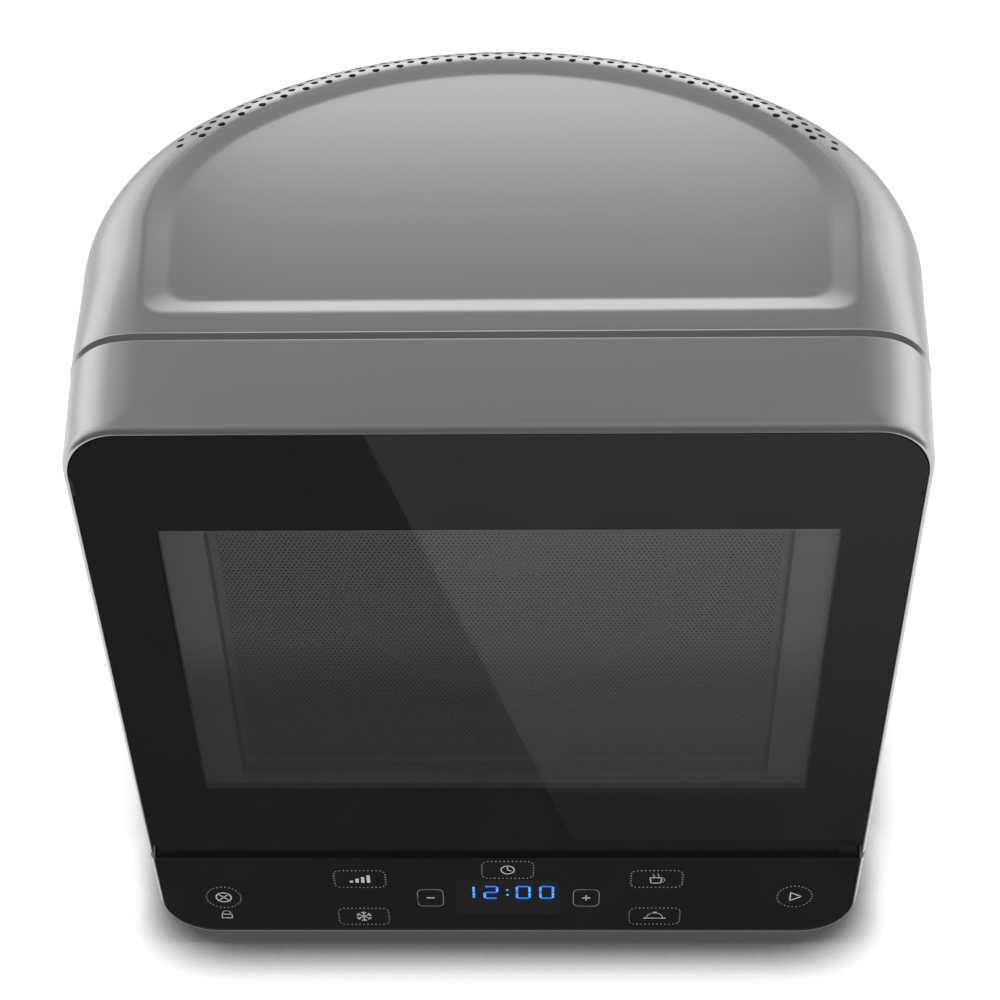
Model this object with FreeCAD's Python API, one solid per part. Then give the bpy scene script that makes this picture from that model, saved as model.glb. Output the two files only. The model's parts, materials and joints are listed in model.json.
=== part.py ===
import FreeCAD, Part
import math
import os

V = FreeCAD.Vector

# Whole oven in millimetres: the front looks along -Y, the counter is z = 0,
# and depths are measured back from the front face
WIDTH = 392.0
HEIGHT = 360.0
FRONT_TAPER = 34.0
WIDEST_DEPTH = 154.0
BACK_BOW = 166.0
BACK_FLATTEN = 20.0
FOOT_HEIGHT = 10.0

# Room between pieces, and how far a cut runs past a face
FIT = 0.2
RUN = 0.05
AIR = 0.3
PAST = 1.0

# Flat sides of small round pieces that stay out of sight
FEW_SIDES = 12
MANY_SIDES = 24

# Outer case
CASE_WALL = 1.2
CASE_ROUND = 38.0
PAN_RIM = 33.0
PAN_SLOPE = 12.0
PAN_FRONT_RIM = 15.0
PAN_FRONT_SLOPE = 8.5
PAN_DEPTH = 2.5
PAN_CORNER = 12.0
VENT_RADIUS = 1.9
VENT_PITCH = 12.6
VENT_ROWS = 2
VENT_SIDES = 6
VENT_ROW_PITCH = 3.4
VENT_START = 9.0
VENT_REACH = 172.0

# Door
BAND_DEPTH = 59.0
BAND_WALL = 2.4
SEAM_GAP = 4.0
RIM_BEVEL = 1.4
BAND_CORNER = 25.0
GLASS = 3.2
GLASS_GAP = 0.3
DOOR_THICK = 36.0
FRAME_FACE = 3.0
FRAME_WALL = 2.0
COVER_THICK = 2.5
WINDOW_SIDE = 34.0
WINDOW_TOP = 56.0
WINDOW_RISE = 44.8
SCREEN_SHEET = 0.8
SCREEN_LAP = 5.0
SCREEN_STEP_SIDE = 18.0
SCREEN_STEP_END = 6.0
SCREEN_RECESS = 8.0
FILM = 1.2
FILM_LAP = 4.0
COVER_ROOM = 4.0
TAB_LONG = 9.0
TAB_THICK = 1.0
TAB_DROP = 31.5

# Hinge and lower front
PANEL_TOP = 74.4
SPLIT_GAP = 3.3
LIP_RADIUS = 4.5
HINGE_DEPTH = 6.4
GLASS_OVERHANG = 0.8
BAND_OVERHANG = 3.2
EAR_LONG = 9.0
EAR_ROUND = 2.7
EAR_SIDE = 1.4
EAR_FOOT = 0.8
EAR_FOOT_LONG = 20.0
NOTCH_AIR = 0.6
PIN_RADIUS = 1.5
PIN_REACH = 8.0
LOWER_CORNER = 28.0

# Control panel
LEDGE = 2.5
CARRIER_FACE = 3.0
CARRIER_WALL = 2.0
DISPLAY_WIDE = 54.0
DISPLAY_TALL = 29.0
DISPLAY_THICK = 10.0
BOARD_SIDE = 26.0
BOARD_MARGIN = 6.0
BOARD_THICK = 1.6

# Latches
LATCH_SIDE = 8.5
LATCH_DROP = 60.0
LATCH_THICK = 6.0
LATCH_PIN = 2.5
LATCH_PIN_SET = 9.0
LATCH_REACH = 18.0
SLOT_SIDE = 2.2
SLOT_BELOW = 10.0
SLOT_ABOVE = 14.0
BRACKET_WALL = 2.0
BRACKET_LONG = 44.0
BRACKET_BELOW = 30.0
BRACKET_ABOVE = 28.0
SWITCH_TALL = 16.0
SWITCH_LONG = 28.0
SWITCH_THICK = 10.0
SPRING_TURNS = 3
SPRING_WIRE = 1.1

# Cabinet and cavity
DOOR_AIR = 1.5
PLATE = 1.2
PLATE_ROOM = 2.6
PLATE_TOP_ROOM = 5.6
PLATE_CORNER = 24.0
FLANGE_SET = 1.5
BASE_SHEET = 1.2
BASE_RIM = 12.0
TONGUE_SIDE = 31.0
TONGUE_FRONT = 10.0
CAVITY_SIDE = 29.0
CAVITY_TOP_ROOM = 48.0
FLOOR_RISE = 25.8
CAVITY_WALL = 1.0
CAVITY_BACK_ROOM = 18.0
CAVITY_CORNER = 110.0
FOOT_RADIUS = 12.0
FOOT_FRONT = 36.0
FOOT_FRONT_SIDE = 42.0
FOOT_BACK = 68.0
FOOT_BACK_SIDE = 82.0

# Turntable
TRAY_ROOM = 9.0
TRAY_THICK = 4.2
TRAY_RIM = 11.0
TRACK_SET = 26.5
WHEEL_RADIUS = 7.0
WHEEL_WIDE = 7.0
WHEEL_PIN = 2.0
WHEEL_COUNT = 3
RING_WIDE = 5.0
RING_TALL = 6.0
STEM_RADIUS = 4.0
STEM_SINK = 12.0
STEM_HOLE = 8.0
HUB_RADIUS = 9.0
ARM_LONG = 22.0
ARM_WIDE = 8.0
ARM_TALL = 7.0
TURN_MOTOR_RADIUS = 25.0
TURN_MOTOR_TALL = 21.0
TURN_MOTOR_LUG = 31.0

# Microwave feed
FEED_WALL = 1.0
FEED_ROOM = 12.0
FEED_WIDE = 80.0
FEED_LOW = 8.0
FEED_TOP_ROOM = 107.0
PORT_WIDE = 56.0
PORT_TALL = 50.0
PORT_TOP_ROOM = 112.0
MICA_THICK = 0.8
MICA_LAP = 5.0
ANTENNA_RADIUS = 8.0
ANTENNA_HOLE = 12.0
ANTENNA_ROOM = 10.0
TUBE_FLANGE = 2.5
TUBE_LONG = 64.0
TUBE_WIDE = 76.0
TUBE_UNDER = 12.0
TUBE_OVER = 15.0
YOKE = 3.0
FIN_COUNT = 5
FIN_THICK = 0.8
ANODE_RADIUS = 18.0
ANODE_SIDES = 8
FILTER_BOX = 22.0

# Power parts on the base
IRON_WIDE = 90.0
IRON_DEEP = 56.0
IRON_TALL = 66.0
COIL_WIDE = 58.0
COIL_OVERHANG = 15.0
COIL_TALL = 38.0
COIL_ROUND = 7.0
IRON_SIDE = 40.0
IRON_FRONT = 30.0
CAN_WIDE = 48.0
CAN_TALL = 34.0
CAN_LONG = 84.0
CAN_FRONT = 14.0
CAN_GAP = 10.0
CLAMP_SHEET = 1.0
CLAMP_WIDE = 14.0
CLAMP_FOOT = 10.0
TERMINAL_RADIUS = 3.0
TERMINAL_LONG = 7.0
DIODE_RADIUS = 3.5
DIODE_LONG = 18.0
CUTOUT_RADIUS = 8.0
CUTOUT_TALL = 7.0
FILTER_WIDE = 58.0
FILTER_DEEP = 46.0
FILTER_RISE = 12.0
FILTER_BACK = 62.0
FILTER_SIDE = 84.0
POST_HALF = 3.0
GLAND_X = -70.0
GLAND_RADIUS = 10.0
GLAND_NECK = 7.5
GLAND_BORE = 4.0
GLAND_LIP = 3.0
GLAND_RISE = 40.0

# Cooling fan
FAN_SIDE = 84.0
FAN_BACK = 54.0
FAN_MOTOR = 48.0
FAN_MOTOR_DEEP = 22.0
SPIDER = 4.0
SPIDER_WIDE = 7.0
SHROUD_DEEP = 18.0
SHROUD_TOP_ROOM = 1.4
SHROUD_RIM = 4.0
FAN_TIP_ROOM = 2.5
FAN_HUB = 12.0
FAN_HUB_DEEP = 13.0
FAN_SHAFT = 2.5
BLADE_COUNT = 6
BLADE_THICK = 1.4
BLADE_WIDE = 18.0
BLADE_PITCH = 36.0
DUCT_LONG = 32.0
DUCT_WALL = 1.5
VENT_SLOT_COUNT = 7
VENT_SLOT_WIDE = 4.0
VENT_SLOT_LONG = 44.0
VENT_SLOT_PITCH = 9.0

# Cavity lamp
LAMP_DEEP = 24.0
LAMP_BOX = 36.0
LAMP_WALL = 1.5
LAMP_PORT = 26.0
LAMP_FRONT = 6.0
LAMP_DROP = 84.0
BULB_RADIUS = 8.0
BULB_CAP = 6.0
LAMP_SCREEN = 0.8

# Places that follow from the sizes above
DEPTH = WIDEST_DEPTH + BACK_BOW
FRONT_WIDTH = WIDTH - FRONT_TAPER
FRONT = -DEPTH / 2
SIDE_BEND = BACK_BOW - BACK_FLATTEN
BEND_X = WIDTH / 2 - SIDE_BEND
BEND_Y = FRONT + WIDEST_DEPTH
BACK_RADIUS = (BEND_X ** 2 + BACK_BOW ** 2 - SIDE_BEND ** 2) / (2 * BACK_FLATTEN)
BACK_Y = FRONT + DEPTH - BACK_RADIUS
BACK_TURN = math.atan2(BEND_X, BEND_Y - BACK_Y)
SIDE_RUN = FRONT_WIDTH / 2 - BEND_X
FLARE = math.atan2(WIDEST_DEPTH, SIDE_RUN) - math.acos(SIDE_BEND / math.hypot(SIDE_RUN, WIDEST_DEPTH))
CASE_FRONT = BAND_DEPTH + SEAM_GAP
HINGE_Z = PANEL_TOP + SPLIT_GAP + LIP_RADIUS
FRAME_LOW = PANEL_TOP + SPLIT_GAP
FACE_BACK = GLASS + FRAME_FACE
COVER_FRONT = DOOR_THICK - COVER_THICK
WINDOW_HALF = FRONT_WIDTH / 2 - WINDOW_SIDE
WINDOW_LOW = HINGE_Z + WINDOW_RISE
WINDOW_HIGH = HEIGHT - WINDOW_TOP
SCREEN_HALF = WINDOW_HALF + SCREEN_LAP
MESH_HALF = WINDOW_HALF - SCREEN_STEP_SIDE
MESH_LOW = WINDOW_LOW + SCREEN_STEP_END
MESH_HIGH = WINDOW_HIGH - SCREEN_STEP_END
PLATE_FRONT = DOOR_THICK + DOOR_AIR
PLATE_BACK = PLATE_FRONT + PLATE
FLANGE_FRONT = CASE_FRONT + FLANGE_SET
FLANGE_BACK = FLANGE_FRONT + PLATE
BASE_LOW = FOOT_HEIGHT + BAND_WALL
BASE_TOP = BASE_LOW + BASE_SHEET
CAVITY_HALF = FRONT_WIDTH / 2 - CAVITY_SIDE
CAVITY_LOW = HINGE_Z + FLOOR_RISE
CAVITY_HIGH = HEIGHT - CAVITY_TOP_ROOM
CAVITY_BACK = DEPTH - CAVITY_BACK_ROOM
FLOOR_UNDER = CAVITY_LOW - CAVITY_WALL
LINER_SIDE = CAVITY_HALF + CAVITY_WALL
TABLE_DEPTH = (PLATE_BACK + CAVITY_BACK) / 2
TRAY_RADIUS = (CAVITY_BACK - PLATE_BACK) / 2 - TRAY_ROOM
WHEEL_Z = CAVITY_LOW + AIR + WHEEL_RADIUS
TRAY_LOW = WHEEL_Z + WHEEL_RADIUS + AIR
TRACK_RADIUS = TRAY_RADIUS - TRACK_SET
LATCH_X = CAVITY_HALF + LATCH_SIDE
LATCH_Z = HEIGHT - LATCH_DROP
LATCH_PIVOT = DOOR_THICK - LATCH_PIN_SET
FAN_X = FRONT_WIDTH / 2 - FAN_SIDE
FAN_MOTOR_BACK = DEPTH - FAN_BACK
SHROUD_BACK = FAN_MOTOR_BACK - FAN_MOTOR_DEEP - SPIDER
SHROUD_FRONT = SHROUD_BACK - SHROUD_DEEP
SHROUD_HIGH = FLOOR_UNDER - SHROUD_TOP_ROOM
FAN_Z = (BASE_TOP + SHROUD_HIGH) / 2
SHROUD_HALF = (SHROUD_HIGH - BASE_TOP) / 2
FAN_RADIUS = SHROUD_HALF - SHROUD_RIM - FAN_TIP_ROOM
TUBE_BACK = SHROUD_FRONT - DUCT_LONG
TUBE_DEPTH = TUBE_BACK - TUBE_WIDE / 2
TUBE_LOW = BASE_TOP + TUBE_UNDER
TUBE_HIGH = FLOOR_UNDER - TUBE_OVER
TUBE_Z = (TUBE_LOW + TUBE_HIGH) / 2
FILTER_X = FILTER_SIDE - FRONT_WIDTH / 2


def block(x, depth, z):
    """Box between two x, two depths and two heights."""
    corner = V(x[0], FRONT + depth[0], z[0])
    return Part.makeBox(x[1] - x[0], depth[1] - depth[0], z[1] - z[0], corner)


def rod(x, depth, z, radius, length, along):
    """Cylinder that starts at a point and runs along a direction."""
    return Part.makeCylinder(radius, length, V(x, FRONT + depth, z), along)


def sided_wire(centre, along, across, radius, sides):
    """Regular polygon round a centre, square to a direction."""
    up = along.cross(across)
    corners = []
    for side in range(sides):
        turn = 2 * math.pi * side / sides
        corners.append(centre + across * (radius * math.cos(turn)) + up * (radius * math.sin(turn)))
    return Part.makePolygon(corners + corners[:1])


def sided_rod(start, along, across, radius, length, sides):
    """Rod with flat sides that starts at a point and runs along a direction."""
    return Part.Face(sided_wire(start, along, across, radius, sides)).extrude(along * length)


def prism(x, depth, z, radius, length, along, sides):
    """Flat-sided rod that starts at a point and runs along an axis."""
    across = V(1, 0, 0) if along.z else V(0, 0, 1)
    return sided_rod(V(x, FRONT + depth, z), along, across, radius, length, sides)


def fused(shapes):
    """One clean solid from touching or crossing solids."""
    return shapes[0].fuse(shapes[1:]).removeSplitter()


def mirrored(shape):
    """The same piece on the other side of the oven."""
    return shape.mirror(V(0, 0, 0), V(1, 0, 0))


def half_width(depth, inset=0.0):
    """Half the plan's width at a depth on the straight flaring side."""
    bend = SIDE_BEND - inset
    tangent_x = BEND_X + bend * math.cos(FLARE)
    tangent_y = BEND_Y - bend * math.sin(FLARE)
    return tangent_x - (tangent_y - FRONT - depth) * math.tan(FLARE)


def plan_side(inset, front, corner):
    """Right half of the plan: corner, flaring side and bend, as points from front to back."""
    bend = SIDE_BEND - inset
    start = V(half_width(front, inset), FRONT + front, 0)
    side_turn = math.pi / 2 + FLARE
    middle_turn = (side_turn + BACK_TURN) / 2
    bend_points = []
    for turn in (side_turn, middle_turn, BACK_TURN):
        bend_points.append(V(BEND_X + bend * math.sin(turn), BEND_Y + bend * math.cos(turn), 0))
    inward = V(-1, 0, 0)
    backward = V(math.sin(FLARE), math.cos(FLARE), 0)
    half_angle = (math.pi / 2 + FLARE) / 2
    middle = (inward + backward).normalize()
    tangent = corner / math.tan(half_angle)
    corner_points = [
        start + inward * tangent,
        start + middle * (corner / math.sin(half_angle) - corner),
        start + backward * tangent,
    ]
    return corner_points, bend_points


def plan_wire(inset, front, corner=0.0, z=0.0):
    """Closed plan of the oven, inset from the outside and cut straight at a front depth."""
    corner_points, bend_points = plan_side(inset, front, corner)
    back_middle = V(0, BACK_Y + BACK_RADIUS - inset, 0)

    def flip(point):
        return V(-point.x, point.y, point.z)

    edges = []
    if corner > 0:
        edges.append(Part.Arc(*corner_points).toShape())
    edges.append(Part.makeLine(corner_points[2], bend_points[0]))
    edges.append(Part.Arc(*bend_points).toShape())
    edges.append(Part.Arc(bend_points[2], back_middle, flip(bend_points[2])).toShape())
    edges.append(Part.Arc(*[flip(point) for point in reversed(bend_points)]).toShape())
    edges.append(Part.makeLine(flip(bend_points[0]), flip(corner_points[2])))
    if corner > 0:
        edges.append(Part.Arc(*[flip(point) for point in reversed(corner_points)]).toShape())
    edges.append(Part.makeLine(flip(corner_points[0]), corner_points[0]))
    wire = Part.Wire(edges)
    wire.translate(V(0, 0, z))
    return wire


def plan_prism(inset, front, low, high):
    """Upright solid on the oven's plan."""
    return Part.Face(plan_wire(inset, front, 0.0, low)).extrude(V(0, 0, high - low))


def front_wire(depth, half, low, high, low_round=0.0, high_round=0.0):
    """Rectangle facing the front, with its lower and upper corners rounded."""
    y = FRONT + depth
    lean = math.cos(math.pi / 4)

    def corner(side, z, up, radius):
        flat = V(side * (half - radius), y, z)
        middle = V(side * (half - radius + radius * lean), y, z + up * (radius - radius * lean))
        upright = V(side * half, y, z + up * radius)
        return flat, middle, upright

    low_left = corner(-1, low, 1, low_round)
    low_right = corner(1, low, 1, low_round)
    high_right = corner(1, high, -1, high_round)
    high_left = corner(-1, high, -1, high_round)
    edges = [Part.makeLine(low_left[0], low_right[0])]
    if low_round > 0:
        edges.append(Part.Arc(*low_right).toShape())
    edges.append(Part.makeLine(low_right[2], high_right[2]))
    if high_round > 0:
        edges.append(Part.Arc(*reversed(high_right)).toShape())
    edges.append(Part.makeLine(high_right[0], high_left[0]))
    if high_round > 0:
        edges.append(Part.Arc(*high_left).toShape())
    edges.append(Part.makeLine(high_left[2], low_left[2]))
    if low_round > 0:
        edges.append(Part.Arc(*reversed(low_left)).toShape())
    return Part.Wire(edges)


def front_plate_solid(depth, thick, half, low, high, low_round=0.0, high_round=0.0):
    """Flat plate that faces the front."""
    face = Part.Face(front_wire(depth, half, low, high, low_round, high_round))
    return face.extrude(V(0, thick, 0))


def band_corner(depth):
    """Radius of the door's upper corners at a depth, growing to the case's round at the seam."""
    return BAND_CORNER + (CASE_ROUND - BAND_CORNER) * depth / CASE_FRONT


def door_outline(depth, inset, low):
    """Outline of the door band at a depth and an inset, down to a height."""
    return front_wire(depth, half_width(depth, inset), low, HEIGHT - inset, 0.0, band_corner(depth) - inset)


def housing_outline(depth, inset, high):
    """Outline of the lower front shell at a depth and an inset, up to a height."""
    return front_wire(depth, half_width(depth, inset), FOOT_HEIGHT + inset, high, LOWER_CORNER - inset)


def band(outline, open_end, past_end):
    """Front band lofted along the flaring sides, with a bevelled rim, hollow from front to back."""
    outer = []
    for depth, inset in ((0.0, RIM_BEVEL), (RIM_BEVEL, 0.0), (BAND_DEPTH, 0.0)):
        outer.append(outline(depth, inset, open_end))
    inner = []
    for depth in (-PAST, BAND_DEPTH + PAST):
        inner.append(outline(depth, BAND_WALL, past_end))
    return Part.makeLoft(outer, True, True).cut(Part.makeLoft(inner, True, True))


def pan_tool(inset):
    """Tapered solid that presses the shallow pan into the case's top."""
    slope = PAN_SLOPE / PAN_DEPTH
    front_slope = PAN_FRONT_SLOPE / PAN_DEPTH
    wires = []
    for drop in (-PAST, PAN_DEPTH):
        side = PAN_RIM + inset + slope * drop
        front = CASE_FRONT + PAN_FRONT_RIM + front_slope * drop
        wires.append(plan_wire(side, front, PAN_CORNER, HEIGHT - inset - drop))
    return Part.makeLoft(wires, True, True)


def case_form():
    """Case block with its rounded top edge and pressed pan."""
    body = plan_prism(0.0, CASE_FRONT, FOOT_HEIGHT, HEIGHT)
    front_y = FRONT + CASE_FRONT
    top_edges = []
    for edge in body.Edges:
        box = edge.BoundBox
        on_top = abs(box.ZMin - HEIGHT) < 0.001
        if on_top and box.YMax > front_y + 0.001:
            top_edges.append(edge)
    body = body.makeFillet(CASE_ROUND, top_edges)
    return body.cut(pan_tool(0.0))


def case_hollow(inset):
    """Inside of the case at an inset, with its rounded edge bent in two steps."""
    front = CASE_FRONT - PAST
    high = HEIGHT - inset
    bend = CASE_ROUND - inset
    wires = []
    for step in range(3):
        lean = step * math.pi / 4
        height = high - bend + bend * math.sin(lean)
        wires.append(plan_wire(inset + bend * (1 - math.cos(lean)), front, 0.0, height))
    pieces = [plan_prism(inset, front, FOOT_HEIGHT - PAST, high - bend)]
    pieces.append(Part.makeLoft(wires[0:2], True, True))
    pieces.append(Part.makeLoft(wires[1:3], True, True))
    return fused(pieces).cut(pan_tool(inset))


def plan_place(run, inset):
    """Point and outward direction at a run along the back, from its middle."""
    side = math.copysign(1, run)
    back_run = (BACK_RADIUS - inset) * BACK_TURN
    if abs(run) <= back_run:
        turn = abs(run) / (BACK_RADIUS - inset)
        centre = V(0, BACK_Y, 0)
        radius = BACK_RADIUS - inset
    else:
        turn = BACK_TURN + (abs(run) - back_run) / (SIDE_BEND - inset)
        centre = V(BEND_X * side, BEND_Y, 0)
        radius = SIDE_BEND - inset
    out = V(side * math.sin(turn), math.cos(turn), 0)
    return centre + out * radius, out


def vent_drills():
    """Staggered rows of drills round the rounded back edge of the case."""
    drills = []
    length = 6 * CASE_WALL
    for row in range(VENT_ROWS):
        lean = (VENT_START + row * VENT_ROW_PITCH) / CASE_ROUND
        inset = CASE_ROUND * (1 - math.sin(lean))
        height = HEIGHT - CASE_ROUND * (1 - math.cos(lean))
        shift = VENT_PITCH / 2 * (row % 2)
        count = int((VENT_REACH - shift) / VENT_PITCH)
        for step in range(-count, count + 1 - row % 2):
            point, out = plan_place(step * VENT_PITCH + shift, inset)
            normal = out * math.sin(lean) + V(0, 0, math.cos(lean))
            start = V(point.x, point.y, height) - normal * (length / 2)
            drills.append(sided_rod(start, normal, V(out.y, -out.x, 0), VENT_RADIUS, length, VENT_SIDES))
    return Part.makeCompound(drills)


def gland_frame():
    """Point on the case's back where the mains lead would leave, and its outward direction."""
    turn = math.asin(GLAND_X / BACK_RADIUS)
    out = V(math.sin(turn), math.cos(turn), 0)
    return V(0, BACK_Y, GLAND_RISE) + out * BACK_RADIUS, out


def outer_case():
    """Painted sheet cover with flaring sides, round back, pressed top and vents."""
    outer = case_form()
    shell = outer.cut(case_hollow(CASE_WALL))
    point, out = gland_frame()
    gland_hole = sided_rod(point - out * (4 * CASE_WALL), out, V(0, 0, 1), GLAND_NECK + FIT, 8 * CASE_WALL,
                           MANY_SIDES)
    return shell.cut(Part.makeCompound([vent_drills(), gland_hole]))


def cord_gland():
    """Bushing in the case's back, where a mains lead would come out."""
    point, out = gland_frame()
    up = V(0, 0, 1)
    neck_start = point - out * (GLAND_LIP + CASE_WALL)
    neck = sided_rod(neck_start, out, up, GLAND_NECK, 2 * GLAND_LIP + CASE_WALL, MANY_SIDES)
    lip = sided_rod(point + out * FIT, out, up, GLAND_RADIUS, GLAND_LIP, MANY_SIDES)
    bore = sided_rod(neck_start - out, out, up, GLAND_BORE, 4 * GLAND_LIP, FEW_SIDES)
    return fused([neck, lip]).cut(bore)


def base_plate():
    """Bottom pan with an upturned rim, a front tongue and intake slots."""
    rim_inset = CASE_WALL + FIT
    start = FLANGE_BACK + FIT
    floor = plan_prism(rim_inset, start, BASE_LOW, BASE_TOP)
    rim = plan_prism(rim_inset, start, BASE_LOW, BASE_TOP + BASE_RIM)
    rim = rim.cut(plan_prism(rim_inset + BASE_SHEET, start - PAST, BASE_LOW - PAST,
                             BASE_TOP + BASE_RIM + PAST))
    tongue_half = FRONT_WIDTH / 2 - TONGUE_SIDE
    tongue = block((-tongue_half, tongue_half), (TONGUE_FRONT, start + PAST), (BASE_LOW, BASE_TOP))
    slots = []
    slot_middle = (SHROUD_FRONT + TUBE_BACK) / 2 - VENT_SLOT_LONG
    first = -VENT_SLOT_PITCH * (VENT_SLOT_COUNT - PAST) / 2
    for step in range(VENT_SLOT_COUNT):
        x = first + step * VENT_SLOT_PITCH
        sides = (x - VENT_SLOT_WIDE / 2, x + VENT_SLOT_WIDE / 2)
        slots.append(block(sides, (slot_middle, slot_middle + VENT_SLOT_LONG),
                           (BASE_LOW - PAST, BASE_TOP + PAST)))
    return fused([floor, rim, tongue]).cut(Part.makeCompound(slots))


def foot_places():
    """Centres of the four feet, as x and depth."""
    front_x = FRONT_WIDTH / 2 - FOOT_FRONT_SIDE
    back_x = WIDTH / 2 - FOOT_BACK_SIDE
    front = CASE_FRONT + FOOT_FRONT
    back = DEPTH - FOOT_BACK
    return [(-front_x, front), (front_x, front), (-back_x, back), (back_x, back)]


def feet():
    """Four rubber feet under the base."""
    made = []
    for x, depth in foot_places():
        made.append(prism(x, depth, 0, FOOT_RADIUS, BASE_LOW, V(0, 0, 1), MANY_SIDES))
    return Part.makeCompound(made)


def front_plate():
    """Drawn steel front of the cavity: ring, side walls and the flange that carries the case."""
    half = half_width(0, BAND_WALL) - PLATE_ROOM
    high = HEIGHT - BAND_WALL - PLATE_TOP_ROOM
    outside = front_plate_solid(PLATE_FRONT, FLANGE_BACK - PLATE_FRONT, half, BASE_TOP, high,
                                LOWER_CORNER, PLATE_CORNER)
    hollow = front_plate_solid(PLATE_BACK, FLANGE_BACK, half - PLATE, BASE_TOP + PLATE, high - PLATE,
                               LOWER_CORNER - PLATE, PLATE_CORNER - PLATE)
    flange_inset = CASE_WALL + FIT
    flange = front_plate_solid(FLANGE_FRONT, PLATE, half_width(FLANGE_FRONT, flange_inset), BASE_TOP,
                               HEIGHT - flange_inset, LOWER_CORNER)
    flange = flange.common(case_hollow(flange_inset))
    solid = fused([outside, flange]).cut(hollow)
    opening = block((-CAVITY_HALF, CAVITY_HALF), (PLATE_FRONT - PAST, PLATE_BACK + PAST),
                    (CAVITY_LOW, CAVITY_HIGH))
    cuts = [opening]
    slot_half = LATCH_THICK / 2 + SLOT_SIDE
    for side in (-1, 1):
        x = side * LATCH_X
        cuts.append(block((x - slot_half, x + slot_half), (PLATE_FRONT - PAST, PLATE_BACK + PAST),
                          (LATCH_Z - SLOT_BELOW, LATCH_Z + SLOT_ABOVE)))
    return solid.cut(cuts)


def cavity_plan(grow, front):
    """Plan of the cooking space: straight sides and a round-cornered back."""
    half = CAVITY_HALF + grow
    radius = CAVITY_CORNER + grow
    back = FRONT + CAVITY_BACK + grow
    y = FRONT + front
    lean = radius * (1 - math.cos(math.pi / 4))
    right = [V(half, back - radius, 0), V(half - lean, back - lean, 0), V(half - radius, back, 0)]
    left = [V(-point.x, point.y, 0) for point in reversed(right)]
    edges = [
        Part.makeLine(V(-half, y, 0), V(half, y, 0)),
        Part.makeLine(V(half, y, 0), right[0]),
        Part.Arc(*right).toShape(),
        Part.makeLine(right[2], left[0]),
        Part.Arc(*left).toShape(),
        Part.makeLine(left[2], V(-half, y, 0)),
    ]
    return Part.Face(Part.Wire(edges))


def port_span():
    """Height range of the microwave port in the cavity wall."""
    high = HEIGHT - PORT_TOP_ROOM
    return (high - PORT_TALL, high)


def lamp_places():
    """Depth and height of the cavity lamp's middle."""
    return PLATE_BACK + BRACKET_LONG + LAMP_FRONT + LAMP_BOX / 2, HEIGHT - LAMP_DROP


def cavity_liner():
    """Enamelled oven cavity with a round back, open to the front."""
    outer = cavity_plan(CAVITY_WALL, PLATE_BACK)
    outer.translate(V(0, 0, FLOOR_UNDER))
    outer = outer.extrude(V(0, 0, CAVITY_HIGH - CAVITY_LOW + 2 * CAVITY_WALL))
    inner = cavity_plan(0.0, PLATE_BACK - PAST)
    inner.translate(V(0, 0, CAVITY_LOW))
    inner = inner.extrude(V(0, 0, CAVITY_HIGH - CAVITY_LOW))
    stem_hole = rod(0, TABLE_DEPTH, FLOOR_UNDER - PAST, STEM_HOLE, 3 * CAVITY_WALL, V(0, 0, 1))
    port = block((CAVITY_HALF - PAST, LINER_SIDE + PAST),
                 (TUBE_DEPTH - PORT_WIDE / 2, TUBE_DEPTH + PORT_WIDE / 2), port_span())
    lamp_depth, lamp_z = lamp_places()
    lamp_port = block((-LINER_SIDE - PAST, PAST - CAVITY_HALF),
                      (lamp_depth - LAMP_PORT / 2, lamp_depth + LAMP_PORT / 2),
                      (lamp_z - LAMP_PORT / 2, lamp_z + LAMP_PORT / 2))
    return outer.cut([inner, stem_hole, port, lamp_port])


def waveguide():
    """Upright sheet duct that leads the waves from the magnetron to the cavity's port."""
    outside = WIDTH / 2 - CASE_WALL - FEED_ROOM
    depths = (TUBE_DEPTH - FEED_WIDE / 2, TUBE_DEPTH + FEED_WIDE / 2)
    heights = (BASE_TOP + FEED_LOW, HEIGHT - FEED_TOP_ROOM)
    duct = block((LINER_SIDE, outside), depths, heights)
    hollow = block((LINER_SIDE + FEED_WALL, outside - FEED_WALL),
                   (depths[0] + FEED_WALL, depths[1] - FEED_WALL),
                   (heights[0] + FEED_WALL, heights[1] - FEED_WALL))
    port = block((LINER_SIDE - PAST, LINER_SIDE + 2 * FEED_WALL),
                 (TUBE_DEPTH - PORT_WIDE / 2, TUBE_DEPTH + PORT_WIDE / 2), port_span())
    antenna_hole = prism(LINER_SIDE - PAST, TUBE_DEPTH, TUBE_Z, ANTENNA_HOLE, 3 * FEED_WALL, V(1, 0, 0),
                         FEW_SIDES)
    return duct.cut([hollow, port, antenna_hole])


def waveguide_cover():
    """Mica sheet over the port, on the cavity's right wall."""
    low, high = port_span()
    reach = PORT_WIDE / 2 + MICA_LAP
    return block((CAVITY_HALF - MICA_THICK, CAVITY_HALF), (TUBE_DEPTH - reach, TUBE_DEPTH + reach),
                 (low - MICA_LAP, high + MICA_LAP))


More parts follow.
